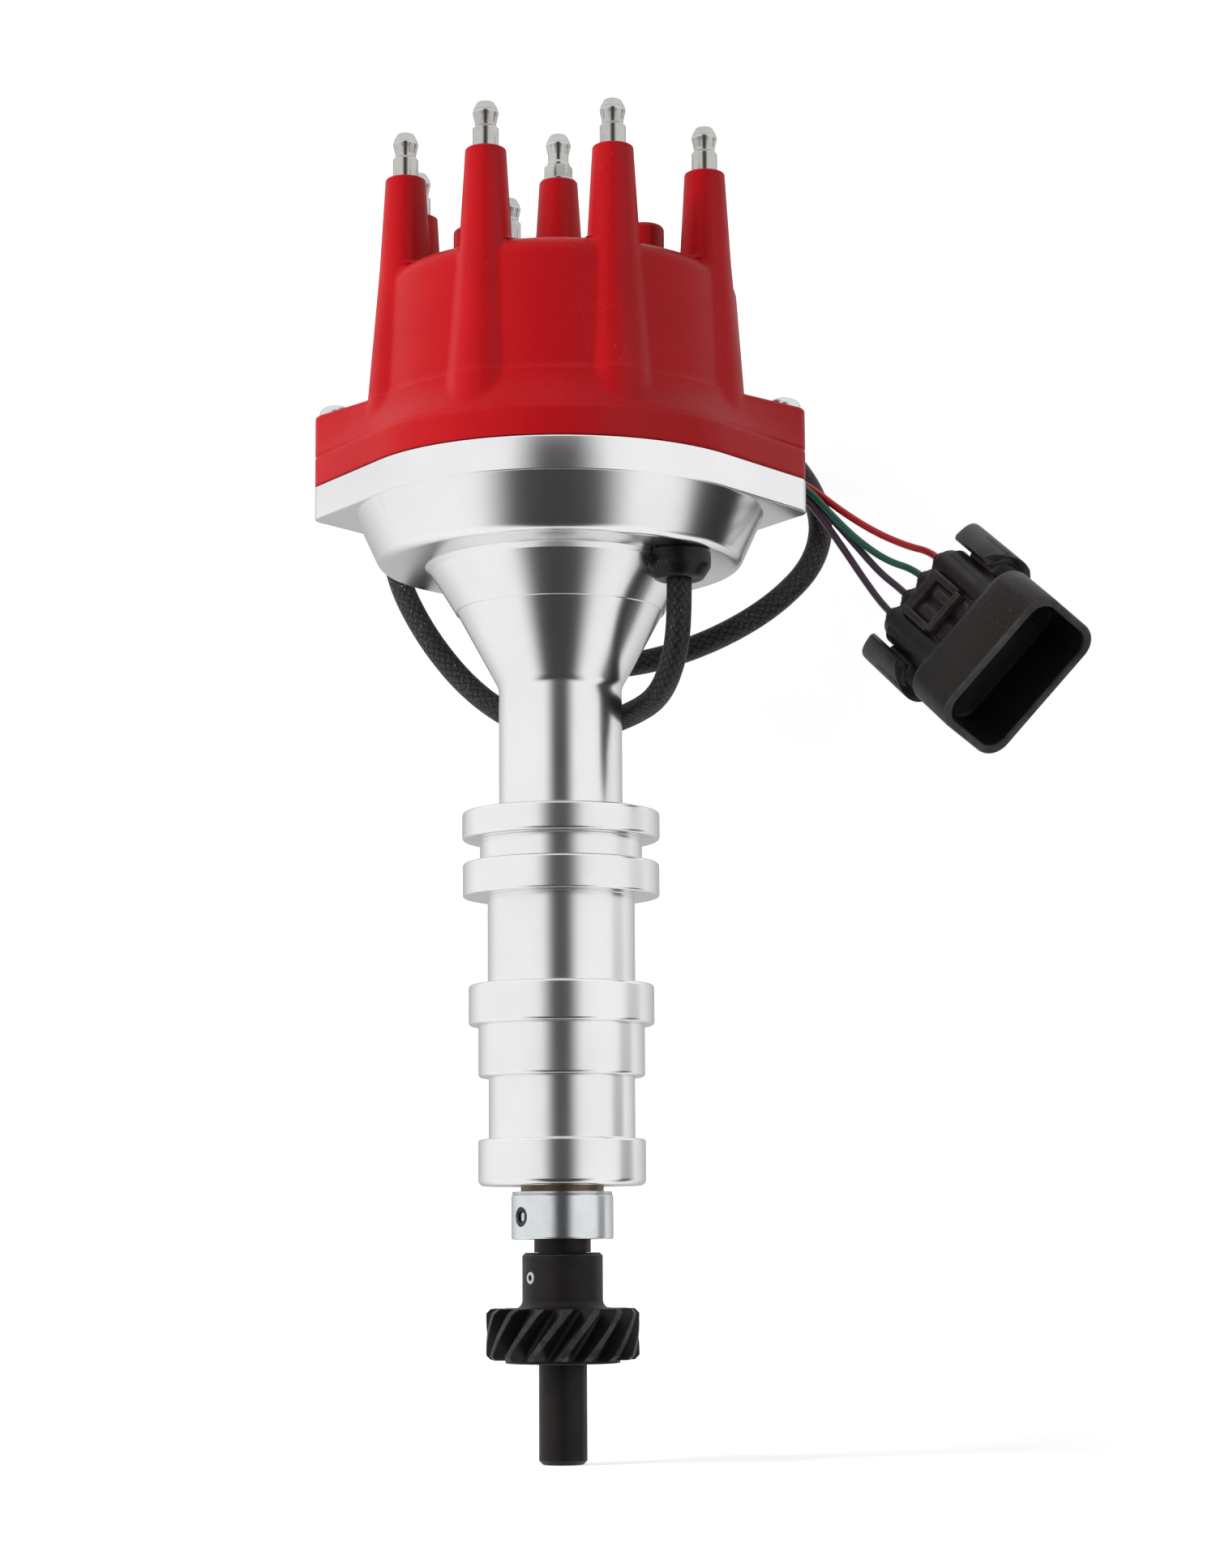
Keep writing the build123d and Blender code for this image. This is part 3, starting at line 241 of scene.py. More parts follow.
def stacked(bands: Sequence[Array], columns: int) -> Array:
    """Rows of several bands one after the other, each spread over all the columns."""
    return np.concatenate([np.broadcast_to(band, (len(band), columns)) for band in bands])


def hexagon(angle: Array, half: float, turn: float = 0.0) -> Array:
    """Distance from Z of a hexagon's side: half its width over the cosine of the angle from the
    nearest flat."""
    return half / np.cos((angle + turn) % (math.pi / 3) - math.pi / 6)


def rounded(points: Corners, radii: Union[float, Sequence[float]],
            closed: bool = False, steps: int = 5, lead: float = 0.05) -> Tuple[Array, Array]:
    """Section with every corner rounded by an arc, and a short lead on each side of it.

    The arc's tangent points stand radius / tan(half the corner's angle) from the corner. Its points
    turn evenly from one tangent point to the other about the arc's centre, on the bisector.

    Args:
        points: corners of the section.
        radii: one radius for all corners, or one each.
        closed: whether the last corner runs on to the first one.
        steps: pieces in each arc.
        lead: length of the flat lead beside each arc.

    Returns:
        The section's points and their painted edge highlight, which is 1 on the arcs of outer
        corners.
    """
    corner = np.asarray(points, dtype=float)
    size = np.broadcast_to(np.asarray(radii, dtype=float), len(corner)).astype(float)
    back, fore = np.roll(corner, 1, axis=0) - corner, np.roll(corner, -1, axis=0) - corner
    long_back, long_fore = np.linalg.norm(back, axis=1), np.linalg.norm(fore, axis=1)
    back, fore = back / long_back[:, None], fore / long_fore[:, None]
    half = np.arccos(np.clip((back * fore).sum(axis=1), -1.0, 1.0)) / 2
    reach = size / np.tan(half)
    limit = 0.46 * np.minimum(long_back, long_fore)
    reach = np.minimum(reach, limit)
    size = reach * np.tan(half)
    middle = back + fore
    middle /= np.maximum(np.linalg.norm(middle, axis=1), 1e-9)[:, None]
    centre = corner + middle * (size / np.sin(half))[:, None]
    start = corner + back * reach[:, None] - centre
    stop = corner + fore * reach[:, None] - centre
    turn = np.maximum(np.pi - 2 * half, 1e-6)
    k = np.linspace(0.0, 1.0, steps + 1)[None, :, None]
    sweep = turn[:, None, None]
    arc = centre[:, None] + (np.sin((1 - k) * sweep) * start[:, None]
                             + np.sin(k * sweep) * stop[:, None]) / np.sin(sweep)
    slack = np.minimum(lead, 0.3 * np.maximum(limit - reach, 0.0))[:, None]
    before = corner + back * (reach[:, None] + slack)
    behind = corner + fore * (reach[:, None] + slack)
    whole = np.concatenate([before[:, None], arc, behind[:, None]], axis=1)
    outer = (back[:, 0] * fore[:, 1] - back[:, 1] * fore[:, 0]) < 0
    mark = np.zeros(whole.shape[:2])
    mark[:, 1:-1] = outer[:, None]
    if closed:
        return whole.reshape(-1, 2), mark.reshape(-1)
    inner = whole[1:-1].reshape(-1, 2)
    return (np.concatenate([corner[:1], inner, corner[-1:]]),
            np.concatenate([[0.0], mark[1:-1].reshape(-1), [0.0]]))


def turned(section: Array, wear: Array, columns: int = 96, ring: bool = False) -> Surface:
    """Section turned about Z: the point (r, z) at angle a stands at (r cos a, r sin a, z).

    Args:
        section: (rows, 2) radius and height, upwards on the outside.
        wear: (rows,) painted edge highlight.
        columns: points round the turn.
        ring: whether the section is closed on itself, as of a ring.

    Returns:
        The turned surface.
    """
    points = polar_grid(section[:, :1], circle(columns), section[:, 1:])
    return woven_grid(points, wear, ring=ring)


def solid_turned(points: Corners, radii: Union[float, Sequence[float]],
                 columns: int = 96, steps: int = 5) -> Surface:
    """Full turned shape from its section's corners, from the bottom's axis to the top's."""
    section, wear = rounded(points, radii, steps=steps)
    return turned(section, wear, columns)


def ring_turned(points: Corners, radii: Union[float, Sequence[float]],
                columns: int = 96) -> Surface:
    """Turned ring from the corners of its closed section."""
    section, wear = rounded(points, radii, closed=True)
    return turned(section, wear, columns, ring=True)


def shifted(x: float = 0.0, y: float = 0.0, turn: float = 0.0) -> Array:
    """Matrix that turns about Z by degrees, then moves in millimetres."""
    return np.array(Matrix.Translation((x, y, 0.0)) @ Matrix.Rotation(math.radians(turn), 4, "Z"))


def polar(radius: float, degrees: float) -> Tuple[float, float]:
    """X and Y of a place at a radius and angle about Z."""
    return radius * math.cos(math.radians(degrees)), radius * math.sin(math.radians(degrees))


def outward(turn: float, radius: float, height: float) -> Array:
    """Matrix that lays Z along the radius at an angle, from a place at a radius and height.

    Args:
        turn: angle about Z, in degrees.
        radius: distance from Z.
        height: height over the seat.

    Returns:
        The 4x4 matrix.
    """
    x, y = polar(radius, turn)
    spin = Matrix.Rotation(math.radians(turn), 4, "Z") @ Matrix.Rotation(math.radians(90), 4, "Y")
    return np.array(Matrix.Translation((x, y, height)) @ spin)


def soft_step(value: Array, low: float, high: float) -> Array:
    """0 below low, 1 above high, and 3t^2 - 2t^3 between."""
    t = np.clip((value - low) / (high - low), 0.0, 1.0)
    return t * t * (3.0 - 2.0 * t)


def soft_max(a: Array, b: Array, blend: float) -> Array:
    """The larger of two radii, rounded over where they differ by less than the blend."""
    h = np.clip(0.5 + 0.5 * (a - b) / blend, 0.0, 1.0)
    return b + (a - b) * h + blend * h * (1.0 - h)


def rounded_box(size: Tuple[float, float, float], corner: float, centre: Tuple[float, float, float],
                columns: int = 32, rows: int = 16) -> Surface:
    """Block with round edges: each unit normal n of a sphere, times the corner radius, stands at
    the inner block's corner of the same signs as n.

    Args:
        size: width, depth and height in millimetres.
        corner: radius of its edges.
        centre: its middle.
        columns: points round it.
        rows: points from pole to pole.

    Returns:
        The block's surface.
    """
    around = (np.arange(columns) + 0.5)[None, :] * FULL_TURN / columns
    rise = (-0.5 + (np.arange(rows) + 0.5)[:, None] / rows) * math.pi
    normal = np.stack(np.broadcast_arrays(
        np.cos(rise) * np.cos(around), np.cos(rise) * np.sin(around), np.sin(rise)), axis=-1)
    inner = np.array(size) / 2 - corner
    points = normal * corner + np.sign(normal) * inner + np.array(centre)
    # Every point of the block takes a painted highlight of 0.6.
    wear = np.full(points.shape[:2], 0.6)
    return woven_grid(points, wear)


def smooth_path(route: Sequence[Point], spacing: float = CORD_STEP) -> Array:
    """Points at even steps along the NURBS spline of order 3 that has the route as control points.

    Args:
        route: control points in metres.
        spacing: step along the spline, in metres.

    Returns:
        (n, 3) points in metres.
    """
    curve = bpy.data.curves.new("route", "CURVE")
    curve.dimensions = "3D"
    curve.resolution_u = 24
    spline = curve.splines.new("NURBS")
    spline.points.add(len(route) - 1)
    spline.points.foreach_set("co", np.column_stack([np.array(route), np.ones(len(route))]).ravel())
    spline.order_u = 3
    spline.use_endpoint_u = True
    holder = bpy.data.objects.new("route", curve)
    line = bpy.data.meshes.new_from_object(holder)
    raw = np.empty(len(line.vertices) * 3)
    line.vertices.foreach_get("co", raw)
    raw = raw.reshape(-1, 3)
    bpy.data.objects.remove(holder)
    bpy.data.curves.remove(curve)
    bpy.data.meshes.remove(line)
    run = np.concatenate([[0.0], np.cumsum(np.linalg.norm(np.diff(raw, axis=0), axis=1))])
    even = np.linspace(0.0, run[-1], max(int(run[-1] / spacing), 2) + 1)
    return np.column_stack([np.interp(even, run, raw[:, axis]) for axis in range(3)])


def carried_frames(path: Array) -> Tuple[Array, Array]:
    """Two directions across each station of a path, carried along it with no twist of their own.

    Args:
        path: (n, 3) stations.

    Returns:
        (n, 3) first and second directions.
    """
    tangent = np.gradient(path, axis=0)
    tangent /= np.linalg.norm(tangent, axis=1)[:, None]
    first = np.empty_like(path)
    side = np.cross(tangent[0], (0.3, 0.9, 0.2))
    for station, ahead in enumerate(tangent):
        side = side - ahead * side.dot(ahead)
        side = side / np.linalg.norm(side)
        first[station] = side
    return first, np.cross(tangent, first)


def carried_tube(path: Array, radius: Array, columns: int = 24) -> Surface:
    """Round section carried along a path: at angle a, station p is moved by the radius times
    first cos a + second sin a.

    Args:
        path: (n, 3) stations in millimetres.
        radius: (n,) or (n, columns) radius in millimetres.
        columns: points round the section.

    Returns:
        The tube with both ends closed.
    """
    first, second = carried_frames(path)
    angle = circle(columns)[..., None]
    wide = (radius[:, None] if radius.ndim == 1 else radius)[..., None]
    across = first[:, None] * np.cos(angle) + second[:, None] * np.sin(angle)
    return woven_grid(path[:, None] + wide * across)


class Tree:
    """Adds nodes to a node tree and links them."""

    def __init__(self, tree: bpy.types.NodeTree) -> None:
        """Keeps the tree that the nodes go into."""
        self.tree = tree

    @classmethod
    def of(cls, owner: Union[bpy.types.Material, bpy.types.World]) -> "Tree":
        """Emptied tree of a material or a world.

        Args:
            owner: what the tree is made for.

        Returns:
            The tree.
        """
        owner.use_nodes = True
        owner.node_tree.nodes.clear()
        return cls(owner.node_tree)

    def node(self, kind: str, inputs: Optional[Mapping[Union[str, int], object]] = None,
             **settings: object) -> bpy.types.Node:
        """Adds a node.

        Args:
            kind: its type.
            inputs: a value or a socket for each input, by name or place.
            settings: its own properties.

        Returns:
            The node.
        """
        made = self.tree.nodes.new(kind)
        for name, value in settings.items():
            setattr(made, name, value)
        for place, value in (inputs or {}).items():
            if isinstance(value, Socket):
                self.tree.links.new(value, made.inputs[place])
            else:
                made.inputs[place].default_value = value
        return made

    def math(self, operation: str, *values: object) -> Socket:
        """Result of a Math node."""
        return self.node("ShaderNodeMath", dict(enumerate(values)), operation=operation).outputs[0]

    def times(self, first: object, *others: object) -> Socket:
        """Product of two or more values.

        Args:
            first: a value or a socket.
            others: what it is multiplied by, in turn.

        Returns:
            The product.
        """
        for other in others:
            first = self.math("MULTIPLY", first, other)
        return first

    def largest(self, first: Socket, *others: Socket) -> Socket:
        """Largest of several values.

        Args:
            first: one of them.
            others: the rest.

        Returns:
            The largest.
        """
        for other in others:
            first = self.math("MAXIMUM", first, other)
        return first

    def remap(self, value: Socket, low: object, high: object, to_low: object = 0.0,
              to_high: object = 1.0) -> Socket:
        """Value carried from one range to another, and held within it."""
        ends = {0: value, 1: low, 2: high, 3: to_low, 4: to_high}
        return self.node("ShaderNodeMapRange", ends).outputs[0]

    def mix(self, factor: object, first: object, second: object) -> Socket:
        """Colour between two colours.

        Args:
            factor: 0 for the first and 1 for the second.
            first: a colour or a socket.
            second: a colour or a socket.

        Returns:
            The colour.
        """
        pair = [c if isinstance(c, Socket) else (*c, 1.0) for c in (first, second)]
        ends = {0: factor, 6: pair[0], 7: pair[1]}
        return self.node("ShaderNodeMix", ends, data_type="RGBA").outputs[2]

    def place(self, kind: str = "Object") -> Socket:
        """Coordinates of the shaded place."""
        return self.node("ShaderNodeTexCoord").outputs[kind]

    def parts(self, vector: Socket) -> Sequence[Socket]:
        """X, Y and Z of a vector."""
        return self.node("ShaderNodeSeparateXYZ", {0: vector}).outputs

    def noise(self, scale: object, detail: float = 3.0, roughness: float = 0.5,
              where: Optional[Socket] = None) -> Socket:
        """Noise value, on object coordinates unless it is given others.

        Args:
            scale: grains per metre.
            detail: layers of finer noise.
            roughness: weight of the finer layers.
            where: its coordinates.

        Returns:
            The value.
        """
        return self.node("ShaderNodeTexNoise", {
            "Vector": where or self.place(), "Scale": scale, "Detail": detail,
            "Roughness": roughness}).outputs[0]

    def effect(self, group: bpy.types.NodeTree, **inputs: object) -> Sequence[Socket]:
        """Outputs of a shared effect with its own values, each input named with _ for a space."""
        named = {name.replace("_", " "): value for name, value in inputs.items()}
        return self.node("ShaderNodeGroup", named, node_tree=group).outputs


def shared_effect(name: str, **inputs: float) -> Callable[[Fill], Callable[[], bpy.types.NodeTree]]:
    """Decorator that makes a function the maker of a shader node group.

    Args:
        name: the group's name.
        inputs: its value inputs with their defaults, each named with _ for a space.

    Returns:
        What takes the function, which gives the group's outputs by name.
    """

    def wrap(fill: Fill) -> Callable[[], bpy.types.NodeTree]:
        """Maker of the group that a function fills.

        Args:
            fill: gives the outputs by name for a tree and its inputs.

        Returns:
            The group's maker.
        """

        def group() -> bpy.types.NodeTree:
            """The group, built when it is first asked for.

            Returns:
                The node group.
            """
            if name in bpy.data.node_groups:
                return bpy.data.node_groups[name]
            made = bpy.data.node_groups.new(name, "ShaderNodeTree")
            add = made.interface.new_socket
            for label, value in inputs.items():
                socket = add(label.replace("_", " "), in_out="INPUT", socket_type=VALUE_SOCKET)
                socket.default_value = value
            tree = Tree(made)
            results = fill(tree, tree.node("NodeGroupInput").outputs)
            for label in results:
                add(label, in_out="OUTPUT", socket_type=VALUE_SOCKET)
            tree.node("NodeGroupOutput", results)
            return made

        return group

    return wrap


@shared_effect("Lathe lines", Lines_per_metre=4000.0)
def lathe_lines(tree: Tree, given: Sockets) -> Dict[str, Socket]:
    """Fine rings left by a turning tool: noise that changes with radius and height only.

    Args:
        tree: the group's nodes.
        given: its inputs by name.

    Returns:
        Its outputs by name.
    """
    x, y, z = tree.parts(tree.place())
    reach = tree.math("POWER", tree.math("ADD", tree.times(x, x), tree.times(y, y)), 0.5)
    flat = tree.node("ShaderNodeCombineXYZ", {0: reach, 2: z}).outputs[0]
    return {"Height": tree.noise(given["Lines per metre"], 2.0, where=flat)}


@shared_effect("Mottle", Scale=60.0)
def mottle(tree: Tree, given: Sockets) -> Dict[str, Socket]:
    """Slow uneven tone of a surface, from 0 to 1."""
    return {"Tone": tree.remap(tree.noise(given["Scale"], 4.0, 0.6), 0.3, 0.7)}


@shared_effect("Painted edge highlight", Amount=0.5, Scale=300.0)
def edge_highlight(tree: Tree, given: Sockets) -> Dict[str, Socket]:
    """Painted highlight along exposed edges: the per-point attribute broken up by noise.

    Args:
        tree: the group's nodes.
        given: its inputs by name.

    Returns:
        Its outputs by name.
    """
    edge = tree.node("ShaderNodeAttribute", attribute_name="wear").outputs["Fac"]
    patch = tree.remap(tree.noise(given["Scale"], 5.0, 0.7), 0.38, 0.6, 0.25)
    return {"Mask": tree.math("MINIMUM", tree.times(edge, patch, given["Amount"]), 1.0)}


@shared_effect("Mould grain", Grains_per_metre=2500.0)
def mould_grain(tree: Tree, given: Sockets) -> Dict[str, Socket]:
    """Fine pebbled skin of a moulding.

    Args:
        tree: the group's nodes.
        given: its inputs by name.

    Returns:
        Its outputs by name.
    """
    size = given["Grains per metre"]
    cells = tree.node("ShaderNodeTexVoronoi", {"Vector": tree.place(), "Scale": size}).outputs[0]
    return {"Height": tree.math("ADD", cells, tree.noise(tree.times(size, 0.12), 2.0))}


@shared_effect("Dust", Amount=0.4, Specks_per_metre=1800.0)
def dust(tree: Tree, given: Sockets) -> Dict[str, Socket]:
    """Sparse pale specks, in patches."""
    fine = tree.remap(tree.noise(given["Specks per metre"], 1.0), 0.67, 0.74)
    return {"Mask": tree.times(fine, tree.remap(tree.noise(45.0), 0.4, 0.6), given["Amount"])}


@shared_effect("Braid", Yarns_per_metre_round=600.0, Yarns_per_metre_along=300.0)
def braid(tree: Tree, given: Sockets) -> Dict[str, Socket]:
    """Crossed yarns on the UV: two families of slanted ridges, one over the other in turn, and
    the threads of one of them.

    Args:
        tree: the group's nodes.
        given: its inputs by name.

    Returns:
        Its outputs by name.
    """
    across, along, _ = tree.parts(tree.place("UV"))
    turn = tree.times(across, given["Yarns per metre round"])
    run = tree.times(along, given["Yarns per metre along"])
    slant = tree.math("ADD", turn, run)
    one = tree.math("SINE", tree.times(slant, FULL_TURN))
    two = tree.math("SINE", tree.times(tree.math("SUBTRACT", turn, run), FULL_TURN))
    over = tree.remap(tree.times(one, two), -0.25, 0.25)
    upper = tree.times(tree.math("ABSOLUTE", one), over)
    lower = tree.times(tree.math("ABSOLUTE", two), tree.math("SUBTRACT", 1.0, over))
    strand = tree.math("SINE", tree.times(slant, THREADS, FULL_TURN))
    return {"Height": tree.math("ADD", upper, lower), "Thread": tree.remap(strand, -1.0, 1.0)}


@dataclass(frozen=True)
class Finish:
    """A finish whose slot names its material; each kind adds how its colour and relief come about.
    """

    slot: str
    colour: Colour
    second: Colour
    roughness: float
    spread: float = 0.08
    metallic: float = 0.0
    relief: float = 0.15
    relief_size: float = 2500.0
    mottle_scale: float = 60.0
    specular: float = 0.5

    def material(self) -> bpy.types.Material:
        """The finish's material, built when it is first asked for.

        Returns:
            The material, whose roughness drifts with the same tone as its colour.
        """
        name = f"dressed_{self.slot}"
        if name in bpy.data.materials:
            return bpy.data.materials[name]
        made = bpy.data.materials.new(name)
        tree = Tree.of(made)
        tone = tree.effect(mottle(), Scale=self.mottle_scale)[0]
        low, high = self.roughness - self.spread, self.roughness + self.spread
        bump = tree.node("ShaderNodeBump", {
            "Height": self.height(tree), "Strength": self.relief, "Distance": BUMP_DEPTH})
        shader = tree.node("ShaderNodeBsdfPrincipled", {
            "Metallic": self.metallic, "Specular IOR Level": self.specular,
            "Base Color": self.tint(tree, tone), "Roughness": tree.remap(tone, 0.0, 1.0, low, high),
            "Normal": bump.outputs[0]})
        tree.node("ShaderNodeOutputMaterial", {0: shader.outputs[0]})
        made.diffuse_color = (*self.colour, 1.0)
        return made

    def tint(self, tree: Tree, tone: Socket) -> Socket:
        """Colour that drifts between the two with the tone."""
        return tree.mix(tone, self.colour, self.second)

    def height(self, tree: Tree) -> Socket:
        """Pebbled relief."""
        return tree.effect(mould_grain(), Grains_per_metre=self.relief_size)[0]


@dataclass(frozen=True)
class TurnedMetal(Finish):
    """Metal with lathe rings and a painted highlight along its exposed edges."""

    metallic: float = 1.0
    relief_size: float = 6000.0
    mottle_scale: float = 90.0
    edge_shine: Colour = (0.9, 0.9, 0.9)
    wear: float = 0.3

    def tint(self, tree: Tree, tone: Socket) -> Socket:
        """Mottled metal, with a painted highlight on exposed edges.

        Args:
            tree: the material's nodes.
            tone: slow tone from 0 to 1.

        Returns:
            The colour.
        """
        mask = tree.effect(edge_highlight(), Amount=self.wear)[0]
        return tree.mix(mask, super().tint(tree, tone), self.edge_shine)

    def height(self, tree: Tree) -> Socket:
        """Lathe rings."""
        return tree.effect(lathe_lines(), Lines_per_metre=self.relief_size)[0]


@dataclass(frozen=True)
class MouldedPlastic(Finish):
    """Moulded plastic with a pebbled skin, a painted highlight along its edges, and a little dust.
    """

    edge_shine: Colour = (0.8, 0.2, 0.2)
    wear: float = 0.15
    dusty: float = 0.1

    def tint(self, tree: Tree, tone: Socket) -> Socket:
        """Mottled plastic with a painted highlight on its edges, and specks.

        Args:
            tree: the material's nodes.
            tone: slow tone from 0 to 1.

        Returns:
            The colour.
        """
        mask = tree.effect(edge_highlight(), Amount=self.wear, Scale=150.0)[0]
        specks = tree.effect(dust(), Amount=self.dusty)[0]
        return tree.mix(specks, tree.mix(mask, super().tint(tree, tone), self.edge_shine), DUST_COLOUR)


@dataclass(frozen=True)
class BraidedYarn(Finish):
    """Braided sleeve on the piece's own UV."""

    round_yarns: float = 237.5
    along_yarns: float = 170.0

    def weave(self, tree: Tree) -> Sequence[Socket]:
        """Height and thread of the braid."""
        return tree.effect(braid(), Yarns_per_metre_round=self.round_yarns,
                           Yarns_per_metre_along=self.along_yarns)

    def tint(self, tree: Tree, tone: Socket) -> Socket:
        """Threads with a painted highlight on top and painted shade in the gaps, with specks.

        Args:
            tree: the material's nodes.
            tone: slow tone from 0 to 1.

        Returns:
            The colour.
        """
        ridge, thread = self.weave(tree)
        specks = tree.effect(dust(), Amount=0.8, Specks_per_metre=2200.0)[0]
        # Painted shade: the yarns' gaps and the grooves between threads take the dark second
        # colour, and their tops the lighter one.
        painted_yarn_light = tree.times(tree.remap(ridge, 0.15, 1.0), tree.remap(thread, 0.0, 1.0, 0.55))
        return tree.mix(specks, tree.mix(painted_yarn_light, self.second, self.colour), LINT_COLOUR)

    def height(self, tree: Tree) -> Socket:
        """Ridges of the yarns."""
        return self.weave(tree)[0]


@dataclass(frozen=True)
class WireCoat(Finish):
    """Drawn insulation, with a tracer line along it where it has one."""

    spread: float = 0.05
    relief: float = 0.06
    relief_size: float = 2000.0
    mottle_scale: float = 90.0
    tracer: Optional[Colour] = None
    girth: float = 0.00628

    def tint(self, tree: Tree, tone: Socket) -> Socket:
        """Even insulation, and the tracer where the UV is in its band.

        Args:
            tree: the material's nodes.
            tone: slow tone from 0 to 1.

        Returns:
            The colour.
        """
        plain = super().tint(tree, tone)
        if self.tracer is None:
            return plain
        across = tree.parts(tree.place("UV"))[0]
        off = tree.math("ABSOLUTE", tree.math("SUBTRACT", across, self.girth / 2))
        band = tree.remap(off, self.girth * 0.1, self.girth * 0.13, 1.0, 0.0)
        return tree.mix(band, plain, self.tracer)


# The edge colour of each metal and plastic finish below is a painted highlight on exposed edges.
ALUMINIUM = TurnedMetal("housing_aluminium", (0.87, 0.87, 0.88), (0.82, 0.82, 0.835), 0.23, 0.02,
                        relief=0.04, relief_size=5200.0, mottle_scale=35.0,
                        edge_shine=(0.95, 0.95, 0.95), wear=0.35)
ZINC = TurnedMetal("plated_steel", (0.74, 0.775, 0.8), (0.67, 0.7, 0.72), 0.22, 0.04, relief=0.08,
                   edge_shine=(0.85, 0.86, 0.86), wear=0.4)
STEEL = TurnedMetal("bearing_steel", (0.62, 0.62, 0.63), (0.55, 0.55, 0.56), 0.25, 0.05,
                    relief=0.1, relief_size=8000.0, mottle_scale=80.0)
BRONZE = TurnedMetal("bronze", (0.22, 0.16, 0.1), (0.16, 0.12, 0.07), 0.45, relief=0.2,
                     relief_size=5000.0)
BRASS = TurnedMetal("brass", (0.78, 0.58, 0.28), (0.7, 0.5, 0.22), 0.3)
NICKEL = TurnedMetal("terminal_metal", (0.57, 0.56, 0.54), (0.45, 0.44, 0.42), 0.19, 0.04,
                     relief=0.1, relief_size=7000.0, mottle_scale=160.0,
                     edge_shine=(0.8, 0.79, 0.76), wear=0.4)
BLACK_OXIDE = TurnedMetal("black_steel", (0.021, 0.019, 0.018), (0.013, 0.012, 0.011), 0.44, 0.07,
                          metallic=0.3, relief=0.35, relief_size=3600.0, mottle_scale=110.0,
                          specular=0.22, edge_shine=(0.13, 0.122, 0.117), wear=0.6)
RED_CAP = MouldedPlastic("red_plastic", (0.53, 0.0035, 0.008), (0.46, 0.0025, 0.006), 0.42, 0.05,
                         relief=0.12, relief_size=1500.0, mottle_scale=28.0, specular=0.22,
                         edge_shine=(0.55, 0.03, 0.035), wear=0.3, dusty=0.05)
ROTOR_PLASTIC = MouldedPlastic("rotor_plastic", (0.4, 0.01, 0.012), (0.34, 0.008, 0.01), 0.45)
PLUG_PLASTIC = MouldedPlastic("black_plastic", (0.013, 0.011, 0.0098), (0.0075, 0.0065, 0.006),
                              0.42, relief=0.3, relief_size=1900.0, specular=0.28,
                              edge_shine=(0.13, 0.122, 0.115), wear=0.55, dusty=0.06)
RUBBER = MouldedPlastic("rubber", (0.006, 0.006, 0.0065), (0.004, 0.004, 0.0045), 0.33,
                        relief=0.2, relief_size=1200.0, mottle_scale=70.0, specular=0.25,
                        edge_shine=(0.03, 0.03, 0.03), wear=0.3, dusty=0.3)
CARBON = Finish("carbon", (0.03, 0.03, 0.03), (0.02, 0.02, 0.02), 0.6)
# The braid's second colour is the painted shade in its gaps.
BRAID = BraidedYarn("braid", (0.042, 0.04, 0.038), (0.0015, 0.0015, 0.0015), 0.5, 0.1, relief=1.0,
                    specular=0.3)
RED_WIRE = WireCoat("wire_red", (0.66, 0.005, 0.012), (0.56, 0.004, 0.01), 0.33)
GREEN_WIRE = WireCoat("wire_green", (0.005, 0.15, 0.085), (0.004, 0.11, 0.065), 0.36)
VIOLET_WIRE = WireCoat("wire_violet", (0.075, 0.035, 0.075), (0.055, 0.028, 0.055), 0.4)
TRACER_WIRE = replace(VIOLET_WIRE, slot="wire_violet_tracer", tracer=(0.45, 0.42, 0.44))

INNER_FINISHES: Dict[str, Finish] = {
    "lower_bushing": BRONZE, "upper_bearing_outer_race": STEEL, "upper_bearing_inner_race": STEEL,
    "bearing_circlip": STEEL, "bearing_balls": STEEL, "ball_cage": BRASS, "sensor_plate": ALUMINIUM,
    "sensor_plate_screws": ZINC, "crank_sensor": PLUG_PLASTIC, "cam_sensor": PLUG_PLASTIC,
    "cap_electrodes": BRASS, "carbon_button": CARBON, "crank_shutter": ZINC, "cam_shutter": ZINC,
    "rotor": ROTOR_PLASTIC, "rotor_blade": BRASS, "rotor_spring_contact": BRASS,
    "rotor_screws": ZINC,
}


def build_piece(name: str, surface: Surface, finish: Finish, *replaced: str,
                body: Body = Body.DISTRIBUTOR, sharp: float = 40.0) -> bpy.types.Object:
    """Makes a surface an object of the model, with its finish, and hides the CAD nodes that it
    stands for.

    Args:
        name: the piece's name.
        surface: its shape in millimetres.
        finish: its finish.
        replaced: CAD nodes that it stands for, which are hidden.
        body: the body it rides on.
        sharp: angle in degrees over which an edge shows as sharp.

    Returns:
        The object, at the origin.
    """
    mesh = bpy.data.meshes.new(name)
    faces = surface.quads.tolist() + surface.tris.tolist()
    mesh.from_pydata((surface.points * MM).tolist(), [], faces)
    uv = np.concatenate([surface.quad_uv.reshape(-1, 2), surface.tri_uv.reshape(-1, 2)]) * MM
    mesh.uv_layers.new(name="UVMap").data.foreach_set("uv", uv.ravel())
    mesh.attributes.new("wear", "FLOAT", "POINT").data.foreach_set("value", surface.wear)
    mesh.shade_smooth()
    mesh.set_sharp_from_angle(angle=math.radians(sharp))
    mesh.materials.append(finish.material())
    piece = bpy.data.objects.new(name, mesh)
    bpy.context.scene.collection.objects.link(piece)
    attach(piece, body.value)
    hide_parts(*replaced)
    LOG.info("%s: %d points, %d faces", name, len(mesh.vertices), len(mesh.polygons))
    return piece


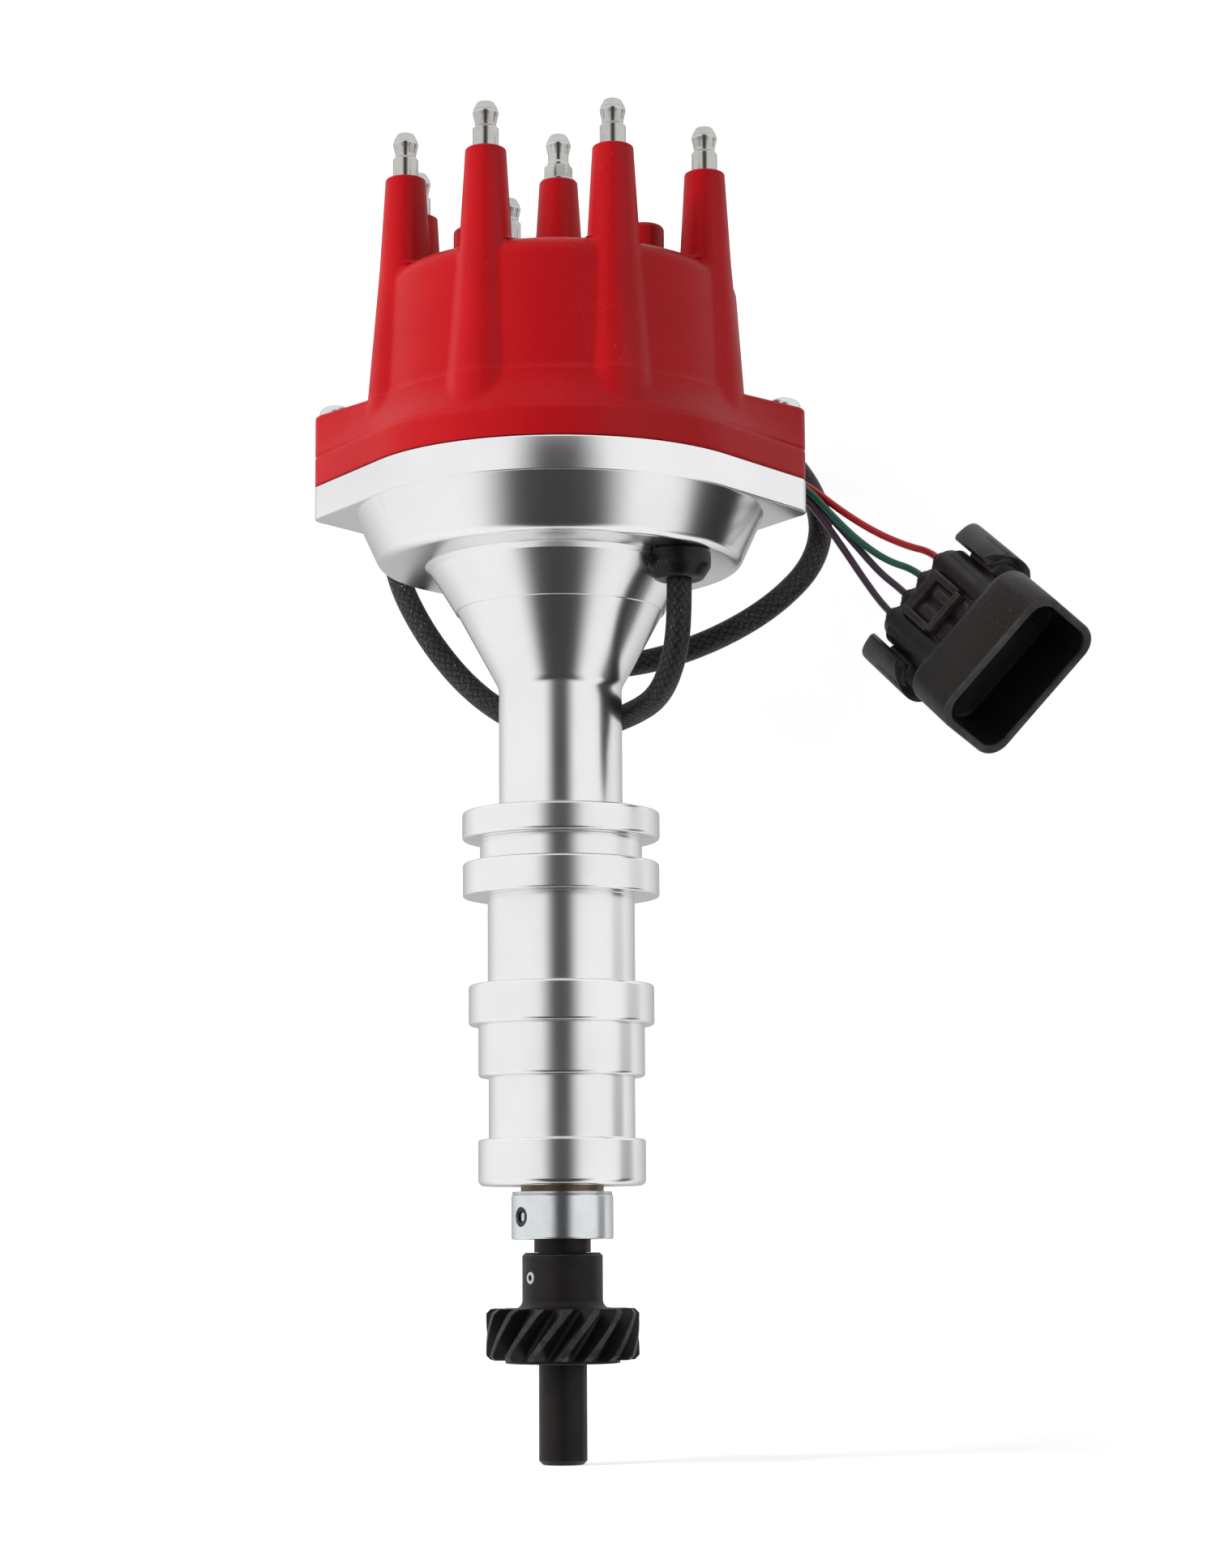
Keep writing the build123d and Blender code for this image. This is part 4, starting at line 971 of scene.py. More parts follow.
@dataclass(frozen=True)
class EaredPlate:
    """Outline of a round plate of a radius with a tapered ear at each end of X."""

    radius: float = 56.0
    reach: float = 61.5
    tip: float = 5.6

    def tangent(self) -> float:
        """Angle of the normal of the straight side between the plate and an ear."""
        return math.acos((self.radius - self.tip) / self.reach)

    def columns(self, count: int) -> Array:
        """Even angles of the normal, and one on each side of every straight run's ends.

        Args:
            count: how many even angles.

        Returns:
            All the angles in order, in radians.
        """
        edge = self.tangent()
        seams = np.array([edge, math.pi - edge, math.pi + edge, FULL_TURN - edge])
        even = np.linspace(0.0, FULL_TURN, count, endpoint=False)
        return np.sort(np.concatenate([even, seams - 1e-5, seams + 1e-5]))

    def by_normal(self, angle: Array, inset: Array) -> Tuple[Array, Array]:
        """X and Y of the outline where its normal has an angle: the ear's or the plate's circle,
        each smaller by the inset.

        Args:
            angle: angles of the normal, in radians.
            inset: how far the outline moves in.

        Returns:
            X and Y.
        """
        on_ear = np.abs(np.cos(angle)) > math.cos(self.tangent())
        size = np.where(on_ear, self.tip, self.radius) - inset
        centre = np.where(on_ear, np.sign(np.cos(angle)) * self.reach, 0.0)
        return centre + size * np.cos(angle), size * np.sin(angle)

    def by_angle(self, angle: Array, inset: Array) -> Array:
        """Distance of the outline from Z at a polar angle: the ear's circle near X, then the
        straight side, which is radius / cos(angle - tangent), then the plate's circle.

        Args:
            angle: angles about Z, in radians.
            inset: how far the outline moves in.

        Returns:
            The distances.
        """
        edge = self.tangent()
        radius, tip = self.radius - inset, self.tip - inset
        fold = np.abs(np.arctan2(np.abs(np.sin(angle)), np.abs(np.cos(angle))))
        last = np.arctan2(tip * np.sin(edge), self.reach + tip * np.cos(edge))
        chord = tip ** 2 - (self.reach * np.sin(fold)) ** 2
        ear = self.reach * np.cos(fold) + np.sqrt(np.maximum(chord, 0.0))
        side = radius / np.cos(fold - edge)
        return np.where(fold < last, ear, np.where(fold < edge, side, radius))


@dataclass
class Housing:
    """Turned aluminium body from the foot to the eared bowl."""

    foot_r: float = 22.28
    oil_neck_r: float = 19.51
    band_r: float = 22.23
    pilot_r: float = 24.83
    waist_r: float = 19.75
    seat_r: float = 26.43
    groove_r: float = 21.8
    guard_r: float = 26.58
    column_r: float = 16.65
    cone_mid_r: float = 27.85
    cone_top_r: float = 35.1
    bowl_r: float = 49.0
    bore_r: float = 47.0
    bearing_r: float = 17.5
    shaft_bore_r: float = 9.1
    bush_r: float = 10.3
    plate: EaredPlate = field(default_factory=EaredPlate)
    columns: int = 240

    def outside(self) -> Tuple[Array, Array]:
        """Section of the outside, from the bore at the foot up to the flange.

        Returns:
            Its points, as radius and height, and their painted edge highlight.
        """
        step = self.cone_top_r + 1.4
        corners = [
            (self.bush_r, Z.foot), (self.foot_r, Z.foot), (self.foot_r, Z.neck),
            (self.oil_neck_r, Z.neck), (self.oil_neck_r, Z.band), (self.band_r, Z.band),
            (self.band_r, Z.pilot), (self.pilot_r, Z.pilot), (self.pilot_r, Z.waist),
            (self.waist_r, Z.waist), (self.waist_r, Z.seat), (self.seat_r, Z.seat),
            (self.seat_r, Z.groove), (self.groove_r, Z.groove), (self.groove_r, Z.guard),
            (self.guard_r, Z.guard), (self.guard_r, Z.column), (self.column_r, Z.column),
            (self.column_r, Z.cone), (self.cone_mid_r, Z.cone_mid),
            (self.cone_mid_r + 0.45, Z.cone_mid + 0.08), (self.cone_top_r, Z.cone_top),
            (step, Z.bowl), (self.bowl_r, Z.bowl), (self.plate.radius - 0.45, Z.flange - 0.2),
        ]
        radii = [0.4, 1.6, 0.7, 0.25, 0.25, 0.9, 0.25, 0.9, 0.9, 0.25, 0.3, 0.6, 0.9, 0.3, 0.3, 0.9,
                 0.9, 0.4, 5.0, 0.12, 0.12, 0.9, 0.7, 3.0, 0.4]
        return rounded(corners, radii, steps=7)

    def inside(self) -> Tuple[Array, Array]:
        """Section of the bowl and the bores, from the rim down to the foot.

        Returns:
            Its points, as radius and height, and their painted edge highlight.
        """
        corners = [
            (self.bore_r + 0.6, Z.rim), (self.bore_r, Z.rim), (self.bore_r, Z.floor),
            (self.bearing_r, Z.floor), (self.bearing_r, Z.bearing), (self.shaft_bore_r, Z.bearing),
            (self.shaft_bore_r, Z.bush_top), (self.bush_r, Z.bush_top), (self.bush_r, Z.foot + 0.5),
        ]
        return rounded(corners, 0.3, steps=2)

    def surface(self) -> Surface:
        """Circles up to the flange, the eared outline for its edge, and circles down the bores.

        Returns:
            The casting's surface, closed through its bore.
        """
        angle = self.plate.columns(self.columns)[None, :]
        lower, lower_highlight = self.outside()
        upper, upper_highlight = self.inside()
        inset = np.array([0.3, 0.12, 0.0, 0.0, 0.0, 0.1, 0.35, 0.7, 0.75])[:, None]
        level = np.array([0.0, 0.04, 0.3, 0.35, -0.75, -0.4, -0.1, 0.0, 0.0])
        base = np.array([Z.flange] * 4 + [Z.rim] * 5)
        x, y = self.plate.by_normal(angle, inset)
        edge = np.stack([x, y, np.broadcast_to((base + level)[:, None], x.shape)], axis=-1)
        circles = [polar_grid(part[:, :1], angle, part[:, 1:]) for part in (lower, upper)]
        # Painted highlight on the flange's lower and upper outer edges.
        highlight_rows = np.array([0.0, 1.0, 0.0, 0.0, 0.0, 1.0, 1.0, 0.0, 0.0])
        return woven_grid(np.concatenate([circles[0], edge, circles[1]]),
                          np.concatenate([lower_highlight, highlight_rows, upper_highlight]), ring=True)

    def build(self) -> None:
        """Makes the housing."""
        build_piece("housing_casting", self.surface(), ALUMINIUM, "housing")


@dataclass
class Cap:
    """Moulded cap: eared skirt, ribbed wall, eight towers, the coil tower and two posts."""

    plate: EaredPlate = field(default_factory=EaredPlate)
    shoulder_loss: float = 6.6
    hollow: float = 2.6
    wall_r: float = 50.9
    wall_top_r: float = 48.9
    crease: float = 0.7
    edge_r: float = 0.8
    round_r: float = 5.6
    bore_r: float = 45.5
    lip_r: float = 46.9
    lip_wall: float = 2.9
    lip_h: float = 3.5
    towers: int = 8
    tower_ring: float = 44.0
    tower_r: float = 5.45
    tower_taper: float = 3.4
    rib_taper: float = 4.8
    coil_r: float = 5.25
    coil_taper: float = 3.7
    covered_r: float = 2.4
    post_ring: float = 23.5
    post_r: float = 5.6
    hole_r: float = 1.65
    hole_deep: float = 11.0
    root: float = 1.6
    columns: int = 640
    bunching: float = 0.4

    def knee(self) -> float:
        """Radius of a tower where it leaves the cap's top."""
        return self.tower_r + (Z.tower - Z.cap_top) * math.tan(math.radians(self.tower_taper))

    def tower_angles(self) -> Array:
        """Angles of the towers, in degrees."""
        return 180.0 / self.towers + 360.0 * np.arange(self.towers) / self.towers

    def ribs(self, angle: Array, height: Array) -> Array:
        """Distance from Z of the ribs' fronts: each is a circle about its tower's axis, whose
        radius r widens downwards with the rib's taper, and the distance at an angle a from the
        tower, whose axis stands at R, is R cos a + sqrt(r^2 - R^2 sin^2 a).

        Args:
            angle: angles about Z, in radians.
            height: heights over the seat.

        Returns:
            The distances, and 0 where there is no rib.
        """
        slope = math.tan(math.radians(self.rib_taper))
        radius = self.knee() + np.maximum(Z.cap_top - height, 0.0) * slope
        pitch = FULL_TURN / self.towers
        away = (angle - math.radians(180.0 / self.towers) + pitch / 2) % pitch - pitch / 2
        inside = radius ** 2 - (self.tower_ring * np.sin(away)) ** 2
        front = self.tower_ring * np.cos(away) + np.sqrt(np.maximum(inside, 0.0))
        return np.where(inside > 0, front, 0.0)

    def shell(self) -> Surface:
        """Outside and inside of the cap's body. Each row has a height and a distance from Z that
        goes from the eared outline to the round wall; the ribs stand out of both, softly.

        Returns:
            The body's surface, from the roof's inside to the top's middle.
        """
        even = np.linspace(0.0, FULL_TURN, self.columns, endpoint=False)
        angle = (even - self.bunching * np.sin(2 * even))[None, :]
        skirt_z = np.array([0.0, 0.06, 0.25, 1.0, 3.9, 6.6, 7.55, 7.8, 8.1])[:, None] + Z.rim
        skirt_in = np.array([0.3, 0.08, 0.0, 0.0, 0.0, 0.0, 0.03, 0.12, 0.3])[:, None]
        skirt = self.plate.by_angle(angle, skirt_in)
        rise = np.linspace(0.06, 0.93, 16)[:, None]
        shoulder_z = Z.cap_band + rise * (Z.cap_ear - Z.cap_band)
        shoulder = self.narrowed(angle, rise, 0.0)
        turn = np.linspace(0.0, 1.0, 6)[:, None] * QUARTER
        edge_z = Z.cap_ear - self.edge_r + self.edge_r * np.sin(turn)
        edge = self.narrowed(angle, 0.93 + 0.07 * np.sin(turn), self.edge_r * (1 - np.cos(turn)))
        outline = edge[-1:]
        wall = np.full_like(outline, self.wall_r)
        share = (1.0 - np.linspace(0.03, 1.0, 14)[:, None]) ** 1.5
        flat = wall + np.maximum(outline - wall, 0.0) * share
        gap = np.clip(self.root - (flat - wall), 0.0, self.root)
        flat_z = Z.cap_ear + self.root - np.sqrt(self.root ** 2 - gap ** 2)
        climb = np.linspace(0.06, 1.0, 22)[:, None]
        wall_top = Z.cap_top - self.round_r
        wall_z = Z.cap_ear + self.root + climb * (wall_top - Z.cap_ear - self.root)
        walls = self.wall_r + (self.wall_top_r - self.wall_r) * climb
        turn = np.linspace(0.1, 1.0, 10)[:, None] * QUARTER
        round_z = wall_top + self.round_r * np.sin(turn)
        rounding = self.wall_top_r - self.round_r * (1 - np.cos(turn))
        levels = [skirt_z, shoulder_z, edge_z, flat_z, wall_z, round_z]
        height = stacked(levels, self.columns)
        plain = stacked([skirt, shoulder, edge, flat, walls, rounding], self.columns)
        radius = soft_max(plain, self.ribs(angle, height), self.crease)
        radius[:len(skirt_z)] = skirt
        inward = np.linspace(0.96, 0.02, 12)[:, None]
        radius = np.concatenate([radius, radius[-1:] * inward])
        height = stacked([height, np.full_like(inward, Z.cap_top)], self.columns)
        outer = polar_grid(radius, angle, height)
        inner, _ = rounded([
            (0.5, Z.roof), (self.bore_r, Z.roof), (self.bore_r, Z.rim),
            (self.lip_r - self.lip_wall, Z.rim), (self.lip_r - self.lip_wall, Z.rim - self.lip_h),
            (self.lip_r, Z.rim - self.lip_h), (self.lip_r, Z.rim), (self.lip_r + 1.0, Z.rim),
        ], 0.4, steps=3)
        inside = polar_grid(inner[:, :1], angle, inner[:, 1:])
        # Painted highlight on the ears' top edge and the skirt's upper edge.
        edge_shine = np.zeros(len(inside) + len(outer))
        first_edge = len(inside) + len(skirt_z) + len(shoulder_z)
        edge_shine[first_edge:first_edge + len(edge_z)] = 0.8
        edge_shine[len(inside) + 6:len(inside) + 9] = 0.5
        return woven_grid(np.concatenate([inside, outer]), edge_shine)

    def narrowed(self, angle: Array, rise: Array, inset: Array) -> Array:
        """Eared outline whose plate narrows with the rise, down to the wall, while the ears keep
        their tips.

        Args:
            angle: angles about Z, in radians.
            rise: 0 at the band and 1 at the ears' tops.
            inset: how far the outline moves in.

        Returns:
            Distances from Z.
        """
        inset = inset + 0.0 * rise
        wide = self.plate.by_angle(angle, inset)
        slim = EaredPlate(self.plate.radius - self.shoulder_loss).by_angle(angle, inset)
        return soft_max(wide + (slim - wide) * rise, np.full_like(wide, self.wall_r), self.hollow)

    def tower(self, top_r: float, top: float, taper: float, terminal_r: float,
              spin: float) -> Surface:
        """Tapered tower on Z, whose soft root fades out on the side away from the cap's middle.

        Args:
            top_r: radius at its top.
            top: height of its top.
            taper: half angle of its cone, in degrees.
            terminal_r: radius that its terminal covers.
            spin: angle of the outer side in degrees, or ALL_ROUND for a root all round.

        Returns:
            The tower's surface.
        """
        slope = math.tan(math.radians(taper))
        foot = top_r + (top - Z.cap_top) * slope
        rise = (1 - np.cos(np.linspace(0.0, 1.0, 9) * math.pi / 2)) * self.root
        height = np.concatenate([[Z.cap_top - 0.7, Z.cap_top - 0.02], Z.cap_top + rise[1:],
                                 np.linspace(Z.cap_top + 2.4, top - 1.2, 8)])
        radius = foot - np.maximum(height - Z.cap_top, 0.0) * slope
        radius[0] -= 0.5
        over = np.clip(self.root - (height - Z.cap_top), 0.0, self.root)
        flare = self.root - np.sqrt(self.root ** 2 - over ** 2)
        flare[0] = 0.0
        angle = circle(96)
        outer_side = np.cos(angle - math.radians(spin)) if spin >= 0 else np.full_like(angle, -1.0)
        fade = 1.0 - soft_step(outer_side, -0.35, 0.45)
        side = radius[:, None] + flare[:, None] * fade
        corners = [(top_r + 1.2 * slope, top - 1.2), (top_r, top), (terminal_r, top)]
        head, wear = rounded(corners, 0.55)
        lid = np.broadcast_to(head[1:, :1], (len(head) - 1, angle.shape[1]))
        wide = np.concatenate([side, lid])
        tall = np.concatenate([height, head[1:, 1]])[:, None]
        shades = np.concatenate([np.zeros(len(height)), wear[1:] * 0.8])
        return woven_grid(polar_grid(wide, angle, tall), shades)

    def post(self) -> Surface:
        """Round post with a screw hole down its middle.

        Returns:
            The post's surface on Z.
        """
        top, root = Z.post, self.root
        turn = np.linspace(0.0, 1.0, 7) * QUARTER
        foot = np.column_stack([self.post_r + root * (1 - np.sin(turn)),
                                Z.cap_top - 0.02 + root * (1 - np.cos(turn))])
        section, wear = rounded([
            (self.post_r, Z.cap_top + 2.0), (self.post_r, top), (self.hole_r, top),
            (self.hole_r, top - self.hole_deep), (0.2, top - self.hole_deep),
        ], [0, 1.4, 0.35, 0.2, 0])
        start = np.array([[self.post_r, Z.cap_top - 0.7]])
        whole = np.concatenate([start, foot, section[1:]])
        return turned(whole, np.concatenate([np.zeros(len(foot) + 1), wear[1:] * 0.7]), 64)

    def build(self) -> None:
        """Makes the cap's body, then its towers and posts."""
        build_piece("cap_body", self.shell(), RED_CAP, "distributor_cap", sharp=50.0)
        parts = []
        for degrees in self.tower_angles():
            one = self.tower(self.tower_r, Z.tower, self.tower_taper, self.covered_r, degrees)
            parts.append(one.placed(shifted(*polar(self.tower_ring, degrees))))
        parts.append(
            self.tower(self.coil_r, Z.coil_tower, self.coil_taper, self.covered_r, ALL_ROUND))
        parts += [self.post().placed(shifted(side * self.post_ring)) for side in (-1, 1)]
        build_piece("cap_towers", joined(parts), RED_CAP, sharp=50.0)


@dataclass
class Terminals:
    """Snap terminals of the towers and the coil."""

    ring: float = 44.0
    base_r: float = 3.5
    neck_r: float = 2.87
    head_r: float = 3.5
    top_r: float = 2.2
    neck_h: float = 7.1
    head_h: float = 9.9
    whole_h: float = 13.0
    washer_r: float = 4.6
    washer_h: float = 0.6
    hex_half: float = 3.5
    hex_h: float = 3.8

    def head(self, foot: float, base_h: float) -> List[Tuple[float, float]]:
        """Corners of the neck and the head above a base that stands on a height.

        Args:
            foot: height that the base stands on.
            base_h: height of the base.

        Returns:
            The corners from the base up to the tip.
        """
        return [
            (self.base_r, foot + base_h), (self.neck_r, foot + base_h + 0.6),
            (self.neck_r, foot + self.neck_h), (self.head_r - 0.3, foot + self.head_h - 1.2),
            (self.head_r, foot + self.head_h), (self.head_r - 0.3, foot + self.head_h + 1.2),
            (self.top_r, foot + self.whole_h), (0.2, foot + self.whole_h),
        ]

    def stud(self) -> Surface:
        """One tower's terminal on Z, from just inside the tower.

        Returns:
            The terminal's surface.
        """
        corners = [(0.2, Z.tower - 1.0), (self.base_r - 0.2, Z.tower - 1.0),
                   (self.base_r, Z.tower + 0.1)]
        corners += self.head(Z.tower, 5.6)
        radii = [0, 0.1, 0.1, 0.3, 0.25, 0.5, 0.5, 0.9, 0.5, 0.7, 0]
        return solid_turned(corners, radii, 64, 4)

    def coil_stud(self) -> List[Surface]:
        """The coil's terminal: a washer, a hexagon and the head.

        Returns:
            The three surfaces.
        """
        foot = Z.coil_tower + self.washer_h
        washer = solid_turned([(0.2, Z.coil_tower - 0.3), (self.washer_r - 0.4, Z.coil_tower - 0.3),
                               (self.washer_r, Z.coil_tower), (self.washer_r, foot), (0.2, foot)],
                              [0, 0.1, 0.1, 0.2, 0], 64)
        angle = circle(96)
        round_r = np.array([0.3, 4.2, 3.75, 4.1, 4.1, 3.75, 3.45, 0.3])[:, None]
        level = np.array([0.0, 0.0, 0.02, 0.25, self.hex_h - 0.25, self.hex_h - 0.02, self.hex_h,
                          self.hex_h])
        wide = np.minimum(hexagon(angle, self.hex_half, -math.radians(15)), round_r)
        wide[0], wide[-1] = 0.3, 0.3
        nut = woven_grid(polar_grid(wide, angle, (foot + level)[:, None]))
        corners = [(0.2, foot + self.hex_h - 0.5), (self.base_r - 0.4, foot + self.hex_h - 0.5)]
        corners.append((self.base_r - 0.35, foot + self.hex_h + 0.7))
        corners += self.head(foot, self.hex_h + 0.8)[1:]
        stud = solid_turned(corners, [0, 0.1, 0.2, 0.25, 0.5, 0.5, 0.9, 0.5, 0.7, 0], 64, 4)
        return [washer, nut, stud]

    def build(self) -> None:
        """Makes the nine terminals."""
        one = self.stud()
        studs = [one.placed(shifted(*polar(self.ring, turn))) for turn in Cap().tower_angles()]
        build_piece("tower_studs", joined(studs), NICKEL, "tower_terminals")
        build_piece("coil_stud", joined(self.coil_stud()), NICKEL, "coil_terminal")


@dataclass
class EarScrews:
    """Pan-head screws with a crossed recess in the cap's ears."""

    reach: float = 61.5
    shank_r: float = 2.4
    head_r: float = 4.5
    head_h: float = 3.4
    rim_h: float = 0.7
    thread_pitch: float = 0.8
    thread_deep: float = 0.16
    cross_long: float = 2.5
    cross_half: float = 0.55
    cross_deep: float = 1.1

    def head(self) -> Surface:
        """Head on Z: the rows run out from under the head, over its rim and in over its dome, which
        sinks where either arm of the cross is.

        Returns:
            The head's surface.
        """
        foot = Z.cap_ear
        rim = self.rim_h
        under = np.array([[self.shank_r, 0.0], [self.head_r - 0.15, 0.0], [self.head_r, 0.15],
                          [self.head_r, rim]])
        turn = np.linspace(0.06, 1.0, 34)
        dome = np.column_stack([self.head_r * np.sqrt(1 - turn ** 2.2),
                                rim + (self.head_h - rim) * turn])
        dome[-1, 0] = 0.08
        inner = np.linspace(dome[-6, 0], 0.08, 18)
        top = np.column_stack([inner, np.interp(inner, dome[::-1, 0], dome[::-1, 1])])
        section = np.concatenate([under, dome[:-6], top])
        angle = circle(96)
        x, y = section[:, :1] * np.cos(angle), section[:, :1] * np.sin(angle)
        arm = [
            soft_step(self.cross_half - np.abs(a), -0.12, 0.12)
            * soft_step(self.cross_long - np.abs(b), -0.15, 0.15)
            for a, b in ((x, y), (y, x))
        ]
        sunk = np.maximum(arm[0], arm[1]) * self.cross_deep
        sunk[:len(under)] = 0.0
        z = foot + section[:, 1:] - sunk
        return woven_grid(np.stack([x, y, z], axis=-1))

    def shank(self) -> Surface:
        """Threaded shank on Z: its radius rises and falls by the thread's depth each pitch, and the
        thread climbs with the angle.

        Returns:
            The shank's surface.
        """
        angle = circle(48)
        height = np.linspace(Z.flange + 2.5, Z.cap_ear - 0.1, 220)[:, None]
        phase = height / self.thread_pitch - angle / FULL_TURN
        radius = self.shank_r - 0.12 - self.thread_deep * np.abs(2 * (phase % 1.0) - 1.0)
        return woven_grid(polar_grid(radius, angle, height))

    def build(self) -> None:
        """Makes both screws."""
        one = joined([self.head(), self.shank()])
        pair = [one.placed(shifted(side * self.reach, turn=turn))
                for side, turn in ((-1, 12.0), (1, 40.0))]
        build_piece("ear_screws", joined(pair), ZINC, "cap_screws")


@dataclass
class Drive:
    """Shaft, collar, gear and their pins below the housing."""

    shaft_r: float = 7.5
    tail_r: float = 6.35
    spigot_r: float = 6.0
    bevel: float = 1.0
    hex_half: float = 4.0
    hex_deep: float = 20.0
    collar_r: float = 13.52
    washer_r: float = 13.23
    gear_r: float = 20.2
    root_r: float = 16.0
    teeth: int = 16
    land: float = 1.9
    tooth_foot: float = 4.9
    chamfer: float = 1.2
    helix: float = 31.0
    boss_r: float = 15.15
    hub_r: float = 10.65
    pin_turn: float = -141.0
    pin_r: float = 1.7
    pin_up: float = 8.0
    screw_r: float = 2.5
    bore_gap: float = 0.02
    hub_foot: float = 2.2
    web_r: float = 2.5

    def shaft(self) -> Surface:
        """Stepped shaft with a hexagon up its tail.

        Returns:
            The shaft's surface, closed over the hexagon's end.
        """
        angle = circle(144)
        hole_z = Z.tail + np.array([self.hex_deep, self.hex_deep, 5.0, 0.4, 0.05])
        size = np.array([0.1, 1.0, 1.0, 1.0, 1.03])[:, None]
        hole = hexagon(angle, self.hex_half, math.pi / 6) * size
        section, wear = rounded([
            (4.9, Z.tail), (self.tail_r - self.bevel, Z.tail), (self.tail_r, Z.tail + self.bevel),
            (self.tail_r, Z.hub + 0.05), (self.shaft_r, Z.hub + 0.05), (self.shaft_r, Z.rotor),
            (self.spigot_r, Z.rotor), (self.spigot_r, Z.spigot), (0.3, Z.spigot),
        ], [0, 0.2, 0.2, 0.1, 0.15, 0.3, 0.2, 0.8, 0])
        wide = stacked([hole, section[:, :1]], angle.size)
        tall = np.concatenate([hole_z, section[:, 1]])[:, None]
        shades = np.concatenate([np.zeros(len(hole_z)), wear])
        return woven_grid(polar_grid(wide, angle, tall), shades)

    def dimpled(self, corners: Sequence[Tuple[float, float]], radii: Sequence[float], face_r: float,
                centre_z: float, hole_r: float, deep: float) -> Surface:
        """Turned ring with a round recess in its side: the radius falls by the depth where the
        distance over the side from the recess's middle is less than its radius.

        Args:
            corners: closed section.
            radii: of its corners.
            face_r: radius of the side that has the recess.
            centre_z: height of the recess's middle.
            hole_r: its radius.
            deep: its depth.

        Returns:
            The ring's surface.
        """
        section, wear = rounded(corners, radii, closed=True)
        fine = np.linspace(centre_z - hole_r - 0.6, centre_z + hole_r + 0.6, 44)
        below = (np.abs(section[:, 0] - face_r) < 1e-6) & (section[:, 1] < fine[0])
        low = int(np.flatnonzero(below)[-1])
        extra = np.column_stack([np.full(len(fine), face_r), fine])
        section = np.insert(section, low + 1, extra, axis=0)
        wear = np.insert(wear, low + 1, np.zeros(len(fine)))
        reach = (hole_r + 0.8) / face_r
        centre = math.radians(self.pin_turn)
        angle = np.sort(np.concatenate([
            np.linspace(centre - reach, centre + reach, 48),
            np.linspace(centre + reach, centre + FULL_TURN - reach, 132)[1:-1],
        ]))[None, :]
        side = (angle - centre + math.pi) % FULL_TURN - math.pi
        away = np.hypot(side * face_r, section[:, 1:] - centre_z)
        on_face = np.abs(section[:, :1] - face_r) < 1e-6
        sunk = deep * soft_step(hole_r - away, -0.08, 0.08) * on_face
        points = polar_grid(section[:, :1] - sunk, angle, section[:, 1:])
        # Painted highlight round the recess's rim.
        rim = np.exp(-((away - hole_r - 0.1) / 0.14) ** 2)
        return woven_grid(points, np.maximum(wear[:, None], rim * 0.8), ring=True)

    def collar(self) -> Surface:
        """Plated collar with the set screw's recess.

        Returns:
            The collar's surface.
        """
        bore = self.shaft_r + self.bore_gap
        corners = [(bore, Z.collar), (self.collar_r, Z.collar), (self.collar_r, Z.washer),
                   (bore, Z.washer)]
        return self.dimpled(corners, [0.3, 0.5, 0.5, 0.3], self.collar_r, COLLAR_MIDDLE,
                            self.screw_r, 0.7)

    def socket(self, radius: float, hex_half: float, deep: float, back: float) -> Surface:
        """Headless screw end on Z with a hexagon recess, from its back up to its rim.

        Args:
            radius: its outer radius.
            hex_half: half the width over the hexagon's flats.
            deep: depth of the hexagon.
            back: how far the end runs back.

        Returns:
            The end's surface.
        """
        angle = circle(72)
        six = hexagon(angle, hex_half)
        rows = [
            (0.1, -back, False), (radius, -back, False), (radius, -0.25, False),
            (radius - 0.22, 0.0, False), (radius - 0.45, 0.0, False), (1.06, -0.02, True),
            (1.0, -0.15, True), (1.0, -deep, True), (0.1, -deep, True),
        ]
        wide = np.concatenate([(six if hexed else np.ones_like(six)) * size
                               for size, _, hexed in rows])
        tall = np.array([level for _, level, _ in rows])[:, None]
        # Painted highlight on the screw end's rim and the hexagon's mouth.
        shades = np.array([0, 0, 0.4, 1, 0.6, 0.6, 0, 0, 0])
        return woven_grid(polar_grid(wide, angle, tall), shades)

    def roll_pin(self) -> Surface:
        """Slit spring pin's end on Z: a ring whose section closes on itself, with rounded rims."""
        corners = [(0.75, -1.2), (self.pin_r, -1.2), (self.pin_r, 0.0), (0.75, 0.0)]
        return ring_turned(corners, [0.1, 0.1, 0.3, 0.15], 48)

    def gear(self) -> Surface:
        """Toothed rim: one tooth's section is repeated round, turned by the helix as it rises, and
        held within the chamfered envelope.

        Returns:
            The rim's surface, with flat ends.
        """
        root_half = math.asin(self.tooth_foot / 2 / self.root_r)
        tip_half = self.land / 2 / self.gear_r
        pitch = FULL_TURN / self.teeth
        across = np.array([-root_half, -tip_half, tip_half, root_half])
        height = np.array([self.root_r, self.gear_r, self.gear_r, self.root_r])
        corners = np.column_stack([height * np.cos(across), height * np.sin(across)])
        flank, _ = rounded([tuple(c) for c in np.vstack([
            [self.root_r * math.cos(-pitch / 2), self.root_r * math.sin(-pitch / 2)], corners,
            [self.root_r * math.cos(pitch / 2), self.root_r * math.sin(pitch / 2)],
        ])], [0, 0.7, 0.18, 0.18, 0.7, 0], steps=4, lead=0.2)
        flank = flank[:-1]
        reach = np.hypot(flank[:, 0], flank[:, 1])
        swing = np.arctan2(flank[:, 1], flank[:, 0])
        angle = (swing[None, :] + pitch * np.arange(self.teeth)[:, None]).reshape(1, -1)
        section = np.tile(reach, self.teeth)[None, :]
        ends = np.array([0.0, 0.3, 0.6, 0.9, self.chamfer - 0.05, self.chamfer + 0.05])
        tall = Z.teeth_top - Z.teeth
        middle = np.linspace(self.chamfer + 0.4, tall - self.chamfer - 0.4, 28)
        rise = np.concatenate([ends, middle, tall - ends[::-1]])
        inset = np.minimum(np.minimum(rise, tall - rise), self.chamfer)
